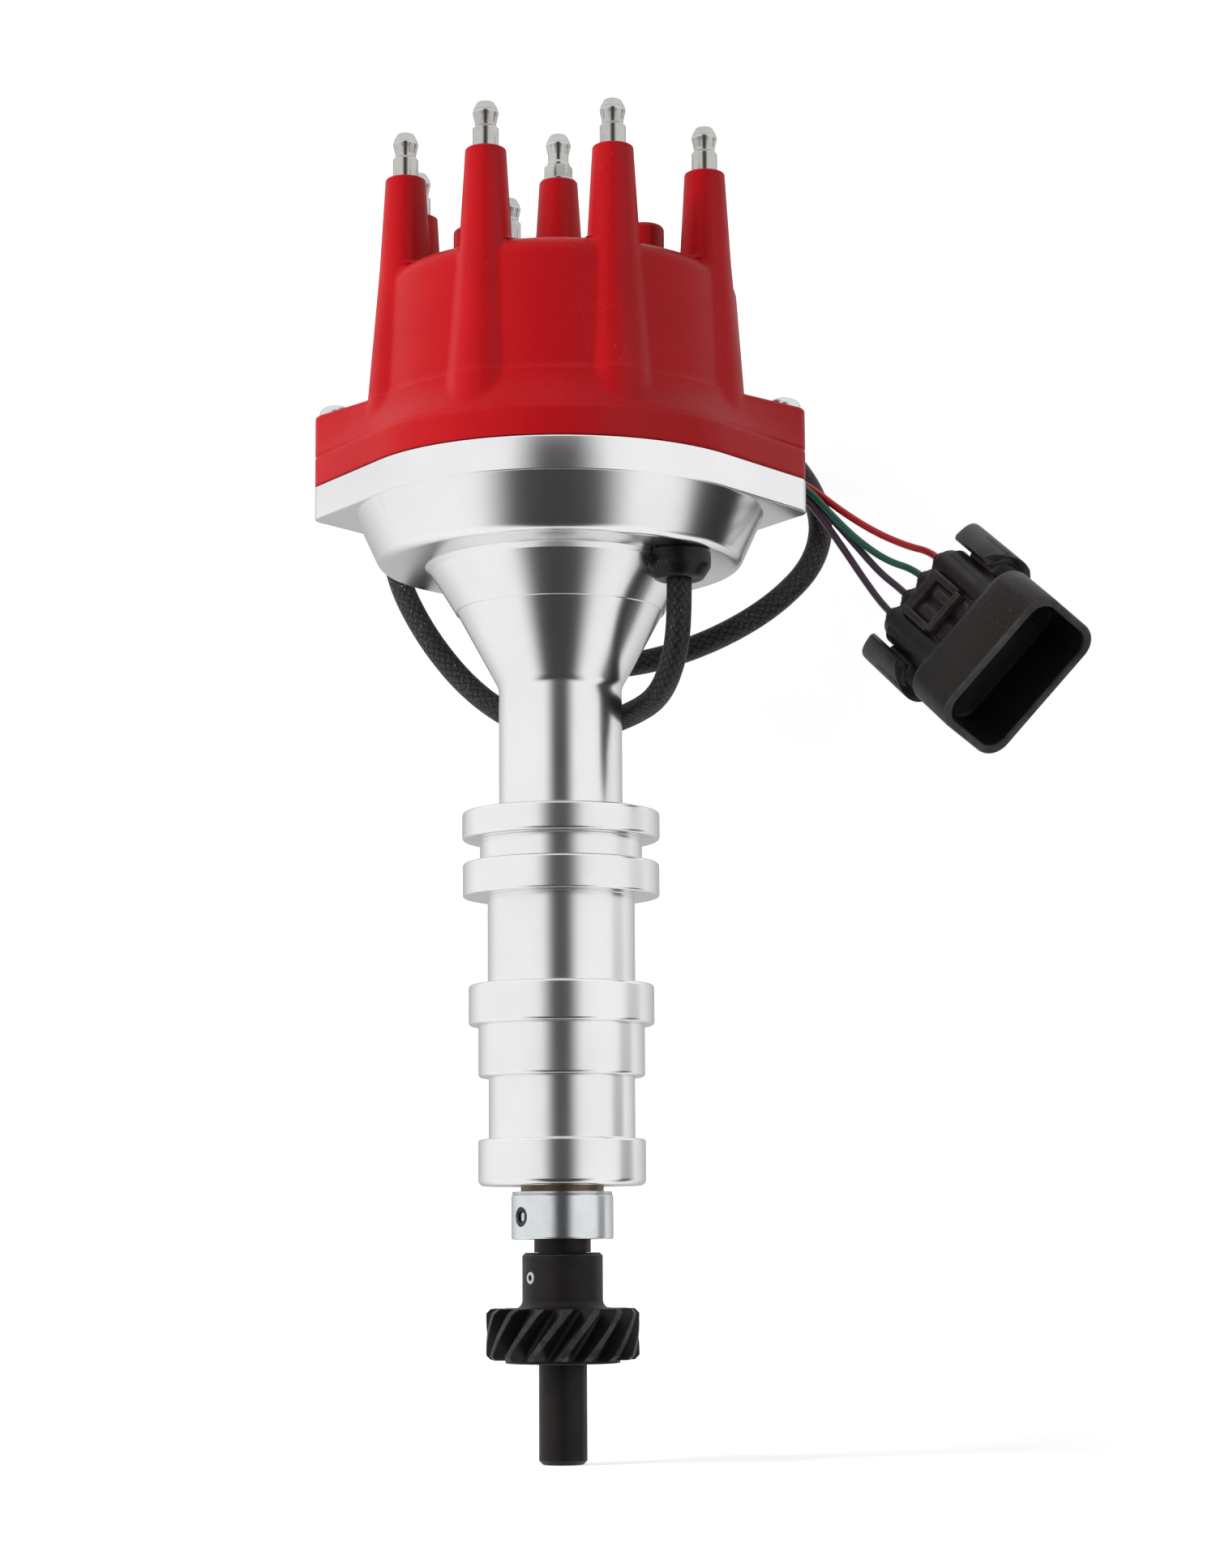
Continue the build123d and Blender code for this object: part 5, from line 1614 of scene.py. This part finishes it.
        envelope = (self.gear_r - self.chamfer + inset)[:, None]
        wide = np.minimum(section, envelope)
        turn = angle + math.radians(self.helix) * (rise / tall)[:, None]
        level = (Z.teeth + rise)[:, None]
        rim = polar_grid(wide, turn, level)
        first, last = [polar_grid(self.root_r - self.web_r, turn[row][None], level[row][None])
                       for row in (0, -1)]
        # Painted highlight on the teeth's lands.
        edge_shine = (section > self.gear_r - 0.12) * 1.0 + 0.0 * rise[:, None]
        flat = np.zeros((1, section.shape[1]))
        shades = np.concatenate([flat, edge_shine * 0.7, flat])
        return woven_grid(np.concatenate([first, rim, last]), shades)

    def hub(self) -> Surface:
        """Hub above the teeth with a concave foot and the pin's recess.

        Returns:
            The hub's surface.
        """
        bore, foot = self.tail_r + self.bore_gap, self.hub_foot
        turn = np.linspace(1.0, 0.0, 9) * QUARTER
        fillet = [(self.hub_r + foot * (1 - math.cos(t)), Z.teeth_top + foot * (1 - math.sin(t)))
                  for t in turn]
        corners = [(bore, Z.teeth_top - 1.0), (fillet[0][0] - 0.3, Z.teeth_top - 1.0),
                   (fillet[0][0], Z.teeth_top + 0.02)]
        corners += fillet[1:-1] + [(self.hub_r, Z.teeth_top + foot)]
        corners += [(self.hub_r, Z.hub - 0.8), (self.hub_r - 0.8, Z.hub), (bore, Z.hub)]
        radii = [0.1, 0.1, 0.05] + [0.05] * 8 + [0.15, 0.15, 0.2]
        level = Z.teeth_top + self.pin_up
        return self.dimpled(corners, radii, self.hub_r, level, self.pin_r + 0.1, 0.45)

    def build(self) -> None:
        """Makes the shaft and what it carries below the housing."""
        bore = self.shaft_r + self.bore_gap
        washer = ring_turned([(bore, Z.washer), (self.washer_r, Z.washer),
                              (self.washer_r, Z.washer_top), (bore, Z.washer_top)], 0.12)
        screw = self.socket(self.screw_r - 0.12, 1.3, 2.6, 3.0)
        screw = screw.placed(outward(self.pin_turn, self.collar_r - 0.15, COLLAR_MIDDLE))
        bore = self.tail_r + self.bore_gap
        boss = solid_turned([(bore, Z.gear), (self.boss_r, Z.gear), (self.boss_r, Z.teeth + 0.3),
                             (bore, Z.teeth + 0.3)], [0, 0.25, 0.1, 0])
        ends = [self.roll_pin().placed(outward(turn, self.hub_r - 0.1, Z.teeth_top + self.pin_up))
                for turn in (self.pin_turn, self.pin_turn + 180.0)]
        gear = joined([self.gear(), self.hub(), boss])
        for name, shape, finish, node, sharp in (
            ("stepped_shaft", self.shaft(), BLACK_OXIDE, "main_shaft", 40.0),
            ("thrust_ring", washer, STEEL, "thrust_washer", 40.0),
            ("collar_ring", self.collar(), ZINC, "shaft_collar", 40.0),
            ("collar_screw", screw, BLACK_OXIDE, "collar_set_screw", 40.0),
            ("helical_gear", gear, BLACK_OXIDE, "drive_gear", 32.0),
            ("roll_pin", joined(ends), STEEL, "gear_roll_pin", 40.0),
        ):
            build_piece(name, shape, finish, node, body=Body.SHAFT, sharp=sharp)


@dataclass
class Plug:
    """Flat four-way plug in its own frame: X along the row of wires, Y out of the mouth."""

    at: Point = (102.0, 18.0, 83.0)
    row: Point = (-0.657, 0.195, -0.728)
    face: Point = (-0.640, -0.660, 0.401)
    pitch: float = 6.6
    wide: float = 43.4
    high: float = 25.0
    long: float = 50.0
    wall: float = 2.2
    corner: float = 6.0
    hollow: float = 18.0
    body_wide: float = 32.0
    body_high: float = 17.0
    flare: float = 8.0
    row_up: float = 4.3
    barrel_r: float = 5.0
    seal_r: float = 2.6
    guard_r: float = 10.5
    guard_wall: float = 2.0
    guard_sweep: float = 68.0
    guard_ends: Tuple[float, float] = (-6.0, 20.0)
    seal_ends: Tuple[float, float] = (-4.0, 5.0)
    rib_deep: float = 0.22
    rib_half: float = 1.1

    def frame(self) -> Array:
        """Matrix from the plug's frame to the row frame, in millimetres.

        Returns:
            The 4x4 matrix.
        """
        x = np.array(self.row) / np.linalg.norm(self.row)
        z = np.array(self.face) - x * np.dot(self.face, x)
        z /= np.linalg.norm(z)
        matrix = np.eye(4)
        matrix[:3, 0], matrix[:3, 1], matrix[:3, 2], matrix[:3, 3] = x, np.cross(z, x), z, self.at
        return matrix

    def columns(self) -> Array:
        """Places of the four wires along the row."""
        return self.pitch * (np.arange(4) - 1.5)

    def along(self, x: float) -> Array:
        """Matrix that lays a turned shape's Z along the plug's Y, at a place in the row."""
        lay = Matrix.Rotation(math.radians(-90), 4, "X")
        return np.array(Matrix.Translation((x, 0.0, self.row_up)) @ lay)

    def loft(self) -> Surface:
        """Body, flare and shroud: at each depth a rounded rectangle, whose corner circles of
        radius c stand at half its width and height less c. The rows run in down the hollow.

        Returns:
            The shell's surface.
        """
        body_c, inner_c = 3.6, self.corner - self.wall / 2
        flat_w, flat_h = self.wide - 2 * self.wall, self.high - 2 * self.wall
        floor = self.long - self.hollow
        start = floor - self.flare
        ease = np.linspace(0.0, 1.0, 9)
        swell = soft_step(ease, 0.0, 1.0)
        rows = [(self.body_wide - 2.4, self.body_high - 2.4, body_c - 1, 2.0),
                (self.body_wide, self.body_high, body_c, 3.2)]
        rows += [(self.body_wide + (self.wide - self.body_wide) * s,
                  self.body_high + (self.high - self.body_high) * s,
                  body_c + (self.corner - body_c) * s, start + self.flare * t)
                 for s, t in zip(swell, ease)]
        rows += [(self.wide, self.high, self.corner, self.long - 1.0),
                 (self.wide - 0.25, self.high - 0.25, self.corner, self.long - 0.35),
                 (self.wide - 1.0, self.high - 1.0, self.corner - 0.4, self.long),
                 (flat_w + 1.0, flat_h + 1.0, inner_c + 0.4, self.long),
                 (flat_w + 0.2, flat_h + 0.2, inner_c, self.long - 0.35),
                 (flat_w, flat_h, inner_c, self.long - 1.0),
                 (flat_w - 0.4, flat_h - 0.4, inner_c, floor + 0.6),
                 (flat_w - 2.0, flat_h - 2.0, inner_c - 0.6, floor)]
        size = np.array(rows)[:, :, None]
        angle = ((np.arange(96) + 0.5) * FULL_TURN / 96)[None, :]
        x = np.sign(np.cos(angle)) * (size[:, 0] / 2 - size[:, 2]) + size[:, 2] * np.cos(angle)
        z = np.sign(np.sin(angle)) * (size[:, 1] / 2 - size[:, 2]) + size[:, 2] * np.sin(angle)
        y = size[:, 3] + 0.0 * angle
        # Painted highlight round the shroud's mouth.
        edge_shine = np.zeros(len(rows))
        edge_shine[-8:-3] = [0.0, 0.8, 0.8, 0.8, 0.8]
        return woven_grid(np.stack([x, y, z], axis=-1)[:, ::-1], edge_shine)

    def barrel(self) -> Surface:
        """One wire's barrel on Z, open at the wire's end, sunk into the flare.

        Returns:
            The barrel's surface.
        """
        end, hole = self.long - self.hollow - 2.0, self.seal_r + 0.05
        return solid_turned([
            (0.3, 5.0), (hole, 5.0), (hole, 0.0), (self.barrel_r, 0.0), (self.barrel_r, end - 3.0),
            (self.barrel_r - 1.5, end), (0.3, end),
        ], [0, 0.3, 0.25, 0.7, 3.0, 0.8, 0], 48)

    def guard(self, side: int) -> Surface:
        """Curved side guard: an arc's thin section carried along Y, cut at a slant at one end.

        Args:
            side: 1 for the end of the row at plus X, -1 for the other.

        Returns:
            The guard's surface.
        """
        centre = self.wide / 2 - self.guard_r + 2.5
        sweep = np.radians(np.linspace(-self.guard_sweep, self.guard_sweep, 36))
        thin = self.guard_wall
        section = np.concatenate([
            np.column_stack([centre + radius * np.cos(turn), radius * np.sin(turn)])
            for radius, turn in ((self.guard_r, sweep), (self.guard_r - thin, sweep[::-1]))
        ])
        share = np.array([0.0, 0.02, 0.08, 0.3, 0.6, 0.9, 0.98, 1.0])[:, None]
        slim = np.array([0.86, 0.96, 1.0, 1.0, 1.0, 1.0, 0.96, 0.86])[:, None]
        height = section[None, :, 1]
        lift = np.abs(height) / self.guard_r
        first = self.guard_ends[0] + 9.0 * np.clip(lift - 0.15, 0.0, 1.0) ** 1.4
        last = self.guard_ends[1] - 3.5 * lift ** 2
        y = first + (last - first) * share
        middle = centre + self.guard_r - thin / 2
        x = side * (middle + (section[None, :, 0] - middle) * slim)
        z = height * slim
        points = np.stack([x, y, z], axis=-1)
        # Painted highlight at both ends of the guard.
        shades = np.array([0.6, 0.6, 0, 0, 0, 0, 0.6, 0.6])
        return woven_grid(points if side < 0 else points[:, ::-1], shades)

    def blocks(self) -> List[Surface]:
        """Webs to the guards, the latch bridge and its bars.

        Returns:
            One surface a block.
        """
        top = self.body_high / 2
        web_x = self.body_wide / 2 + 3.6
        made = [rounded_box((8.4, 14.0, 11.0), 1.6, (side * web_x, 12.0, 0.0)) for side in (-1, 1)]
        made += [rounded_box((2.2, 15.0, 2.8), 0.5, (x, 11.5, top + 0.5)) for x in (-6.2, 6.2)]
        made += [rounded_box((2.6, 8.0, 2.2), 0.4, (x, 15.6, top + 0.9)) for x in (-2.6, 2.6)]
        made.append(rounded_box((14.6, 4.0, 2.4), 0.6, (0.0, 6.0, top + 0.5)))
        made.append(rounded_box((13.0, 2.6, 2.4), 0.5, (0.0, 20.2, top + 1.2)))
        return made

    def seal(self) -> Surface:
        """Ribbed rubber seal on Z, round its wire.

        Returns:
            The seal's surface.
        """
        low, high = self.seal_ends
        height = np.linspace(low, high, 60)
        wave = 0.5 + 0.5 * np.cos(height * math.pi / self.rib_half)
        radius = self.seal_r - self.rib_deep * wave
        radius[height < low + 0.3] -= 0.25
        section = np.column_stack([radius, height])
        section = np.concatenate([[[0.3, low]], section, [[0.3, high]]])
        return turned(section, np.zeros(len(section)), 40)

    def build(self) -> List[bpy.types.Object]:
        """Makes the shell, the seals and the pins.

        Returns:
            The three pieces.
        """
        place = self.frame()
        pin = solid_turned([(0.2, 5.0), (1.25, 5.0), (1.25, 38.6), (0.5, 40.0), (0.2, 40.0)],
                           [0, 0.1, 0.4, 0.2, 0], 32)
        whole = [self.loft(), self.guard(-1), self.guard(1), *self.blocks()]
        made = []
        for name, before, one, finish, node in (
            ("plug_moulding", whole, self.barrel(), PLUG_PLASTIC, "connector_shell"),
            ("plug_seals", [], self.seal(), RUBBER, "connector_seals"),
            ("plug_pins", [], pin, NICKEL, "connector_pins"),
        ):
            four = [one.placed(self.along(x)) for x in self.columns()]
            made.append(build_piece(name, joined(before + four).placed(place), finish, node))
        return made


SLEEVE_ROUTE = [
    (0.0329, -0.021, 0.08203), (0.0329, -0.021, 0.0705), (0.031, -0.0162, 0.0605),
    (0.0269, -0.0058, 0.0534), (0.0196, 0.0095, 0.0514), (0.007, 0.024, 0.0494),
    (-0.0095, 0.0326, 0.0508), (-0.0265, 0.0375, 0.0617), (-0.0409, 0.0416, 0.0796),
    (-0.0507, 0.0461, 0.1), (-0.0529, 0.054, 0.1245), (-0.04, 0.0627, 0.1479),
    (-0.0141, 0.0683, 0.1607), (0.0152, 0.069, 0.1619), (0.0439, 0.0627, 0.1515),
    (0.063, 0.0518, 0.1335), (0.0726, 0.0423, 0.115), (0.0706, 0.0346, 0.0984),
    (0.0586, 0.029, 0.0848), (0.042, 0.0265, 0.0747), (0.023, 0.03, 0.069),
    (0.0035, 0.0373, 0.0688), (-0.0149, 0.0442, 0.0796), (-0.0267, 0.0525, 0.098),
    (-0.0305, 0.0613, 0.1186), (-0.024, 0.0684, 0.136), (-0.0076, 0.0724, 0.146),
    (0.0123, 0.073, 0.1465),
]
RED_ROUTE = [
    (0.0272, 0.0747, 0.1481), (0.0368, 0.0748, 0.1483), (0.0452, 0.0705, 0.1438),
    (0.0523, 0.0601, 0.1364), (0.0597, 0.0427, 0.1268), (0.0693, 0.0335, 0.1193),
    (0.077, 0.0301, 0.112), (0.0867, 0.0261, 0.1045), (0.096, 0.0227, 0.0995),
    (0.1015, 0.0209, 0.0978), (0.1042, 0.0161, 0.0942),
]
GREEN_ROUTE = [
    (0.0273, 0.0722, 0.1481), (0.0363, 0.0725, 0.1483), (0.0437, 0.0687, 0.1438),
    (0.0502, 0.0589, 0.1364), (0.0577, 0.0414, 0.1268), (0.0677, 0.0318, 0.1193),
    (0.0756, 0.0287, 0.1092), (0.0826, 0.0261, 0.1016), (0.0901, 0.0238, 0.0957),
    (0.0972, 0.0222, 0.093), (0.0998, 0.0174, 0.0893),
]
VIOLET_ROUTE = [
    (0.0273, 0.0747, 0.1457), (0.0363, 0.075, 0.1459), (0.0443, 0.0713, 0.1413),
    (0.0518, 0.0611, 0.1344), (0.0591, 0.0437, 0.1247), (0.0685, 0.0344, 0.1172),
    (0.0754, 0.0314, 0.1093), (0.0818, 0.0284, 0.1009), (0.0879, 0.0254, 0.0928),
    (0.0929, 0.0235, 0.0882), (0.0955, 0.0187, 0.0845),
]
TRACER_ROUTE = [
    (0.0274, 0.0723, 0.1457), (0.0358, 0.0726, 0.1459), (0.0428, 0.0695, 0.1418),
    (0.0497, 0.0599, 0.1344), (0.0571, 0.0423, 0.1247), (0.0668, 0.0326, 0.1172),
    (0.0725, 0.0308, 0.1092), (0.0779, 0.0288, 0.1006), (0.0834, 0.0266, 0.0913),
    (0.0885, 0.0247, 0.0834), (0.0911, 0.02, 0.0797),
]


@dataclass
class Harness:
    """Grommet, braided sleeve, boot and the four wires to the plug."""

    plug: Plug
    grommet_ring: float = 39.0
    grommet_turn: float = -32.5
    sleeve_r: float = 3.35
    boot_r: float = 4.2
    boot_long: float = 15.0
    boot_lip: float = 0.05
    wrinkle: float = 0.08
    wire_r: float = 1.0

    def grommet(self) -> Surface:
        """Soft bush with a flattened bulge under the bowl's floor and its neck through it.

        Returns:
            The bush's surface at its place.
        """
        bottom = Z.bowl - 8.0
        bush = solid_turned([
            (0.4, bottom), (6.25, bottom), (8.5, Z.bowl - 4.6), (8.5, Z.bowl - 0.8), (7.9, Z.bowl),
            (6.3, Z.bowl), (6.3, Z.floor), (7.3, Z.floor), (7.3, Z.floor + 1.8),
            (0.4, Z.floor + 1.8),
        ], [0, 1.8, 2.2, 0.9, 0.3, 0.2, 0.2, 0.3, 0.8, 0], 96, 8)
        return bush.placed(shifted(*polar(self.grommet_ring, self.grommet_turn)))

    def boot(self, path: Array) -> Surface:
        """Shrunk boot over the sleeve's end: a tube that swells over the sleeve, with a round lip
        at each end.

        Args:
            path: the sleeve's stations, in millimetres.

        Returns:
            The boot's surface.
        """
        along = path[-1] - path[-4]
        along = along / np.linalg.norm(along)
        share = np.linspace(0.0, 1.0, 60)
        line = path[-1] + along[None, :] * (share[:, None] * self.boot_long)
        lip = self.boot_lip
        into = np.clip(lip - np.minimum(share, 1 - share), 0.0, lip) / lip
        ends = np.sqrt(np.clip(1.0 - into ** 2, 0.0, 1.0))
        wrinkle = self.wrinkle * np.sin(share * 31.0) * np.sin(share * math.pi)
        radius = self.boot_r * (0.9 + 0.1 * ends) - 0.25 * soft_step(share, 0.3, 0.9) + wrinkle
        return carried_tube(line, np.minimum(radius, self.boot_r), 40)

    def wire(self, name: str, route: Sequence[Point], finish: Finish) -> None:
        """Makes one wire along its route.

        Args:
            name: the piece's name and its CAD node's.
            route: control points in metres.
            finish: its insulation.
        """
        path = smooth_path(route)
        tube = carried_tube(path / MM, np.full(len(path), self.wire_r), 20)
        piece = build_piece(f"{name}_lead", tube, finish, name)

    def build(self) -> None:
        """Makes the grommet, the sleeve with its boot, and the wires."""
        build_piece("grommet_bush", self.grommet(), RUBBER, "harness_grommet")
        path = smooth_path(SLEEVE_ROUTE)
        tube = carried_tube(path / MM, np.full(len(path), self.sleeve_r), 48)
        sleeve = build_piece("braided_sleeve", tube, BRAID, "harness_sleeve")
        boot = build_piece("shrunk_boot", self.boot(path / MM), RUBBER, "harness_boot")
        ends = self.plug.build()
        for route, finish in ((RED_ROUTE, RED_WIRE), (GREEN_ROUTE, GREEN_WIRE),
                              (VIOLET_ROUTE, VIOLET_WIRE), (TRACER_ROUTE, TRACER_WIRE)):
            self.wire(finish.slot, route, finish)


# Name, place, aim, diameter in metres and power in watts.
LAMPS = (
    ("key_lamp", (-1.02, -0.52, 0.55), (0.0, 0.0, 0.05), 0.45, 11.5),
    ("fill_lamp", (0.8, -0.8, 0.35), (0.0, 0.0, 0.0), 0.9, 2.4),
)
# Dark patches of the sky, as Studio.patch takes them.
FRONT_PATCHES = (
    ((0.02, 0.7, 0.36), (-0.8, 0.66, 0.22), 0.95),
    ((0.05, 0.33, 0.28), (0.15, 0.5, 0.3), 0.93),
)
BACK_PATCH = ((math.pi, 0.75, 0.7), (0.0, 0.6, 0.6), 0.5)
SIDE_PATCH = ((1.8, 0.22, 0.12), (-0.35, 0.4, 0.2), 0.93)


@dataclass
class Studio:
    """Camera at the photograph's angle, plain light, floor and wall, in metres and degrees."""

    distance: float = 0.87783
    swing: float = 3.4
    height: float = -0.0942
    pitch: float = 8.103
    aside: float = 0.8235
    lean: float = 0.22
    lens: float = 75.46
    floor_z: float = -0.1494
    wall_y: float = 0.088
    wall_bend: float = 0.03
    wall_top: float = 1.5
    sheet_half: float = 3.0
    paper_glow: float = 0.66
    diffuse_light: float = 0.27

    def camera(self) -> None:
        """Camera at its place, looking up by the pitch and aside by the yaw, and leaning."""
        swing, pitch = math.radians(self.swing), math.radians(self.pitch)
        right = np.array([math.cos(swing), math.sin(swing), 0.0])
        depth = np.array([-math.sin(swing), math.cos(swing), 0.0])
        up = np.array([0.0, 0.0, 1.0])
        ahead = depth * math.cos(pitch) + up * math.sin(pitch)
        above = up * math.cos(pitch) - depth * math.sin(pitch)
        aside = math.radians(self.aside)
        ahead, right = (ahead * math.cos(aside) + right * math.sin(aside),
                        right * math.cos(aside) - ahead * math.sin(aside))
        lean = math.radians(self.lean)
        above, right = (above * math.cos(lean) + right * math.sin(lean),
                        right * math.cos(lean) - above * math.sin(lean))
        matrix = np.eye(4)
        matrix[:3, 0], matrix[:3, 1], matrix[:3, 2] = right, above, -ahead
        matrix[:3, 3] = -depth * self.distance + up * self.height
        data = bpy.data.cameras.new("camera")
        data.lens, data.sensor_width, data.sensor_fit = self.lens, 36.0, "AUTO"
        data.clip_start, data.clip_end = 0.01, 20.0
        camera = bpy.data.objects.new("camera", data)
        camera.matrix_world = Matrix(matrix.tolist())
        bpy.context.scene.collection.objects.link(camera)
        bpy.context.scene.camera = camera

    def world(self) -> None:
        """White for the camera and for reflections, but for the dark patches that metal mirrors;
        softer for diffuse light."""
        world = bpy.data.worlds.new("studio")
        bpy.context.scene.world = world
        tree = Tree.of(world)
        ray = tree.node("ShaderNodeLightPath").outputs
        way = tree.parts(tree.place("Generated"))
        turn = tree.math("ARCTAN2", way[0], tree.math("MULTIPLY", way[1], -1.0))
        rise = tree.math("ARCSINE", way[2])
        about = tree.math("ABSOLUTE", turn)
        patches = [(turn, *patch) for patch in FRONT_PATCHES]
        patches += [(about, *BACK_PATCH), (turn, *SIDE_PATCH)]
        shade = tree.largest(*[self.patch(tree, angle, rise, *sizes) for angle, *sizes in patches])
        mirrored = tree.times(ray["Is Glossy Ray"], shade)
        level = tree.remap(self.seen(ray, tree), 0.0, 1.0, self.diffuse_light)
        strength = tree.times(level, tree.math("SUBTRACT", 1.0, mirrored))
        sky = tree.node("ShaderNodeBackground",
                        {"Color": (1.0, 1.0, 1.0, 1.0), "Strength": strength})
        tree.node("ShaderNodeOutputWorld", {0: sky.outputs[0]})

    def patch(self, tree: Tree, turn: Socket, rise: Socket, across: Tuple[float, float, float],
              tall: Tuple[float, float, float], depth: float) -> Socket:
        """Soft-edged patch of sky.

        Args:
            tree: the world's nodes.
            turn: angle from straight in front, in radians.
            rise: angle over the horizon, in radians.
            across: middle, half width and softness of the patch round the object.
            tall: middle, half height and softness over the horizon.
            depth: 1 for a patch with no light.

        Returns:
            How dark the patch is at this place.
        """
        masks = []
        for angle, (middle, half, soft) in ((turn, across), (rise, tall)):
            away = tree.math("ABSOLUTE", tree.math("SUBTRACT", angle, middle))
            masks.append(tree.remap(away, half - soft / 2, half + soft / 2, 1.0, 0.0))
        return tree.times(*masks, depth)

    def seen(self, ray: Sockets, tree: Tree) -> Socket:
        """1 for a ray that shows what it meets, straight, mirrored or through glass, or else 0."""
        kinds = ("Camera", "Glossy", "Transmission")
        return tree.largest(*[ray[f"Is {kind} Ray"] for kind in kinds])

    def paper(self) -> bpy.types.Material:
        """White paper that keeps shadows: part of its light is its own where it is seen, and from
        behind it is clear.

        Returns:
            The material.
        """
        made = bpy.data.materials.new("studio_paper")
        tree = Tree.of(made)
        seen = self.seen(tree.node("ShaderNodeLightPath").outputs, tree)
        paper = tree.node("ShaderNodeBsdfDiffuse", {"Color": (0.8, 0.8, 0.8, 1.0)})
        glow = tree.node("ShaderNodeEmission", {"Strength": tree.times(seen, self.paper_glow)})
        both = tree.node("ShaderNodeAddShader", {0: paper.outputs[0], 1: glow.outputs[0]})
        behind = tree.node("ShaderNodeNewGeometry").outputs["Backfacing"]
        clear = tree.node("ShaderNodeBsdfTransparent")
        mixed = tree.node("ShaderNodeMixShader",
                          {0: behind, 1: both.outputs[0], 2: clear.outputs[0]})
        tree.node("ShaderNodeOutputMaterial", {0: mixed.outputs[0]})
        return made

    def sheet(self, name: str, profile: Array) -> bpy.types.Object:
        """Flat or curved sheet: a section in Y and Z carried straight along X.

        Args:
            name: its name.
            profile: (n, 2) Y and Z of the section, in metres.

        Returns:
            The sheet.
        """
        across = np.array([-self.sheet_half, self.sheet_half])[None, :]
        points = np.stack(np.broadcast_arrays(across, profile[:, :1], profile[:, 1:]), axis=-1)
        i = np.arange(len(profile) - 1) * 2
        faces = np.stack([i, i + 1, i + 3, i + 2], axis=-1)
        mesh = bpy.data.meshes.new(name)
        mesh.from_pydata(points.reshape(-1, 3).tolist(), [], faces.tolist())
        mesh.shade_smooth()
        mesh.materials.append(bpy.data.materials.get("studio_paper") or self.paper())
        sheet = bpy.data.objects.new(name, mesh)
        bpy.context.scene.collection.objects.link(sheet)
        sheet.visible_glossy = False
        return sheet

    def build(self) -> None:
        """Makes the camera, the world, the paper and the lamps."""
        self.camera()
        self.world()
        self.sheet("studio_floor", np.array([[-self.sheet_half, self.floor_z],
                                             [self.sheet_half, self.floor_z]]))
        turn = np.linspace(0.0, 1.0, 24) * QUARTER
        bend = self.wall_bend
        curve = np.column_stack([self.wall_y - bend + bend * np.sin(turn),
                                 self.floor_z + 0.0002 + bend - bend * np.cos(turn)])
        wall = self.sheet("studio_wall", np.concatenate([curve, [[self.wall_y, self.wall_top]]]))
        wall.visible_diffuse, wall.visible_shadow, wall.visible_transmission = False, False, False
        for name, place, aim, size, power in LAMPS:
            lamp = bpy.data.lights.new(name, "AREA")
            lamp.shape, lamp.size, lamp.energy = "DISK", size, power
            holder = bpy.data.objects.new(name, lamp)
            way = np.array(aim) - np.array(place)
            holder.rotation_mode = "QUATERNION"
            holder.rotation_quaternion = Vector(way).to_track_quat("-Z", "Y")
            holder.location = place
            holder.visible_glossy = False
            bpy.context.scene.collection.objects.link(holder)


def dress_inner_parts() -> None:
    """Gives every CAD node that still shows its own finish."""
    for name, finish in INNER_FINISHES.items():
        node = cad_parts[name]
        material = finish.material()
        for slot in node.material_slots:
            slot.material = material
        LOG.info("%s: finished as %s", name, finish.slot)


def main() -> None:
    """Builds the studio and the distributor's sub-assemblies in order."""
    logging.basicConfig(level=logging.INFO, format="%(message)s")
    scene = bpy.context.scene
    scene.view_settings.view_transform = "Standard"
    Studio().build()
    Housing().build()
    Cap().build()
    Terminals().build()
    EarScrews().build()
    Drive().build()
    Harness(Plug()).build()
    dress_inner_parts()


if __name__ == "__main__":
    main()
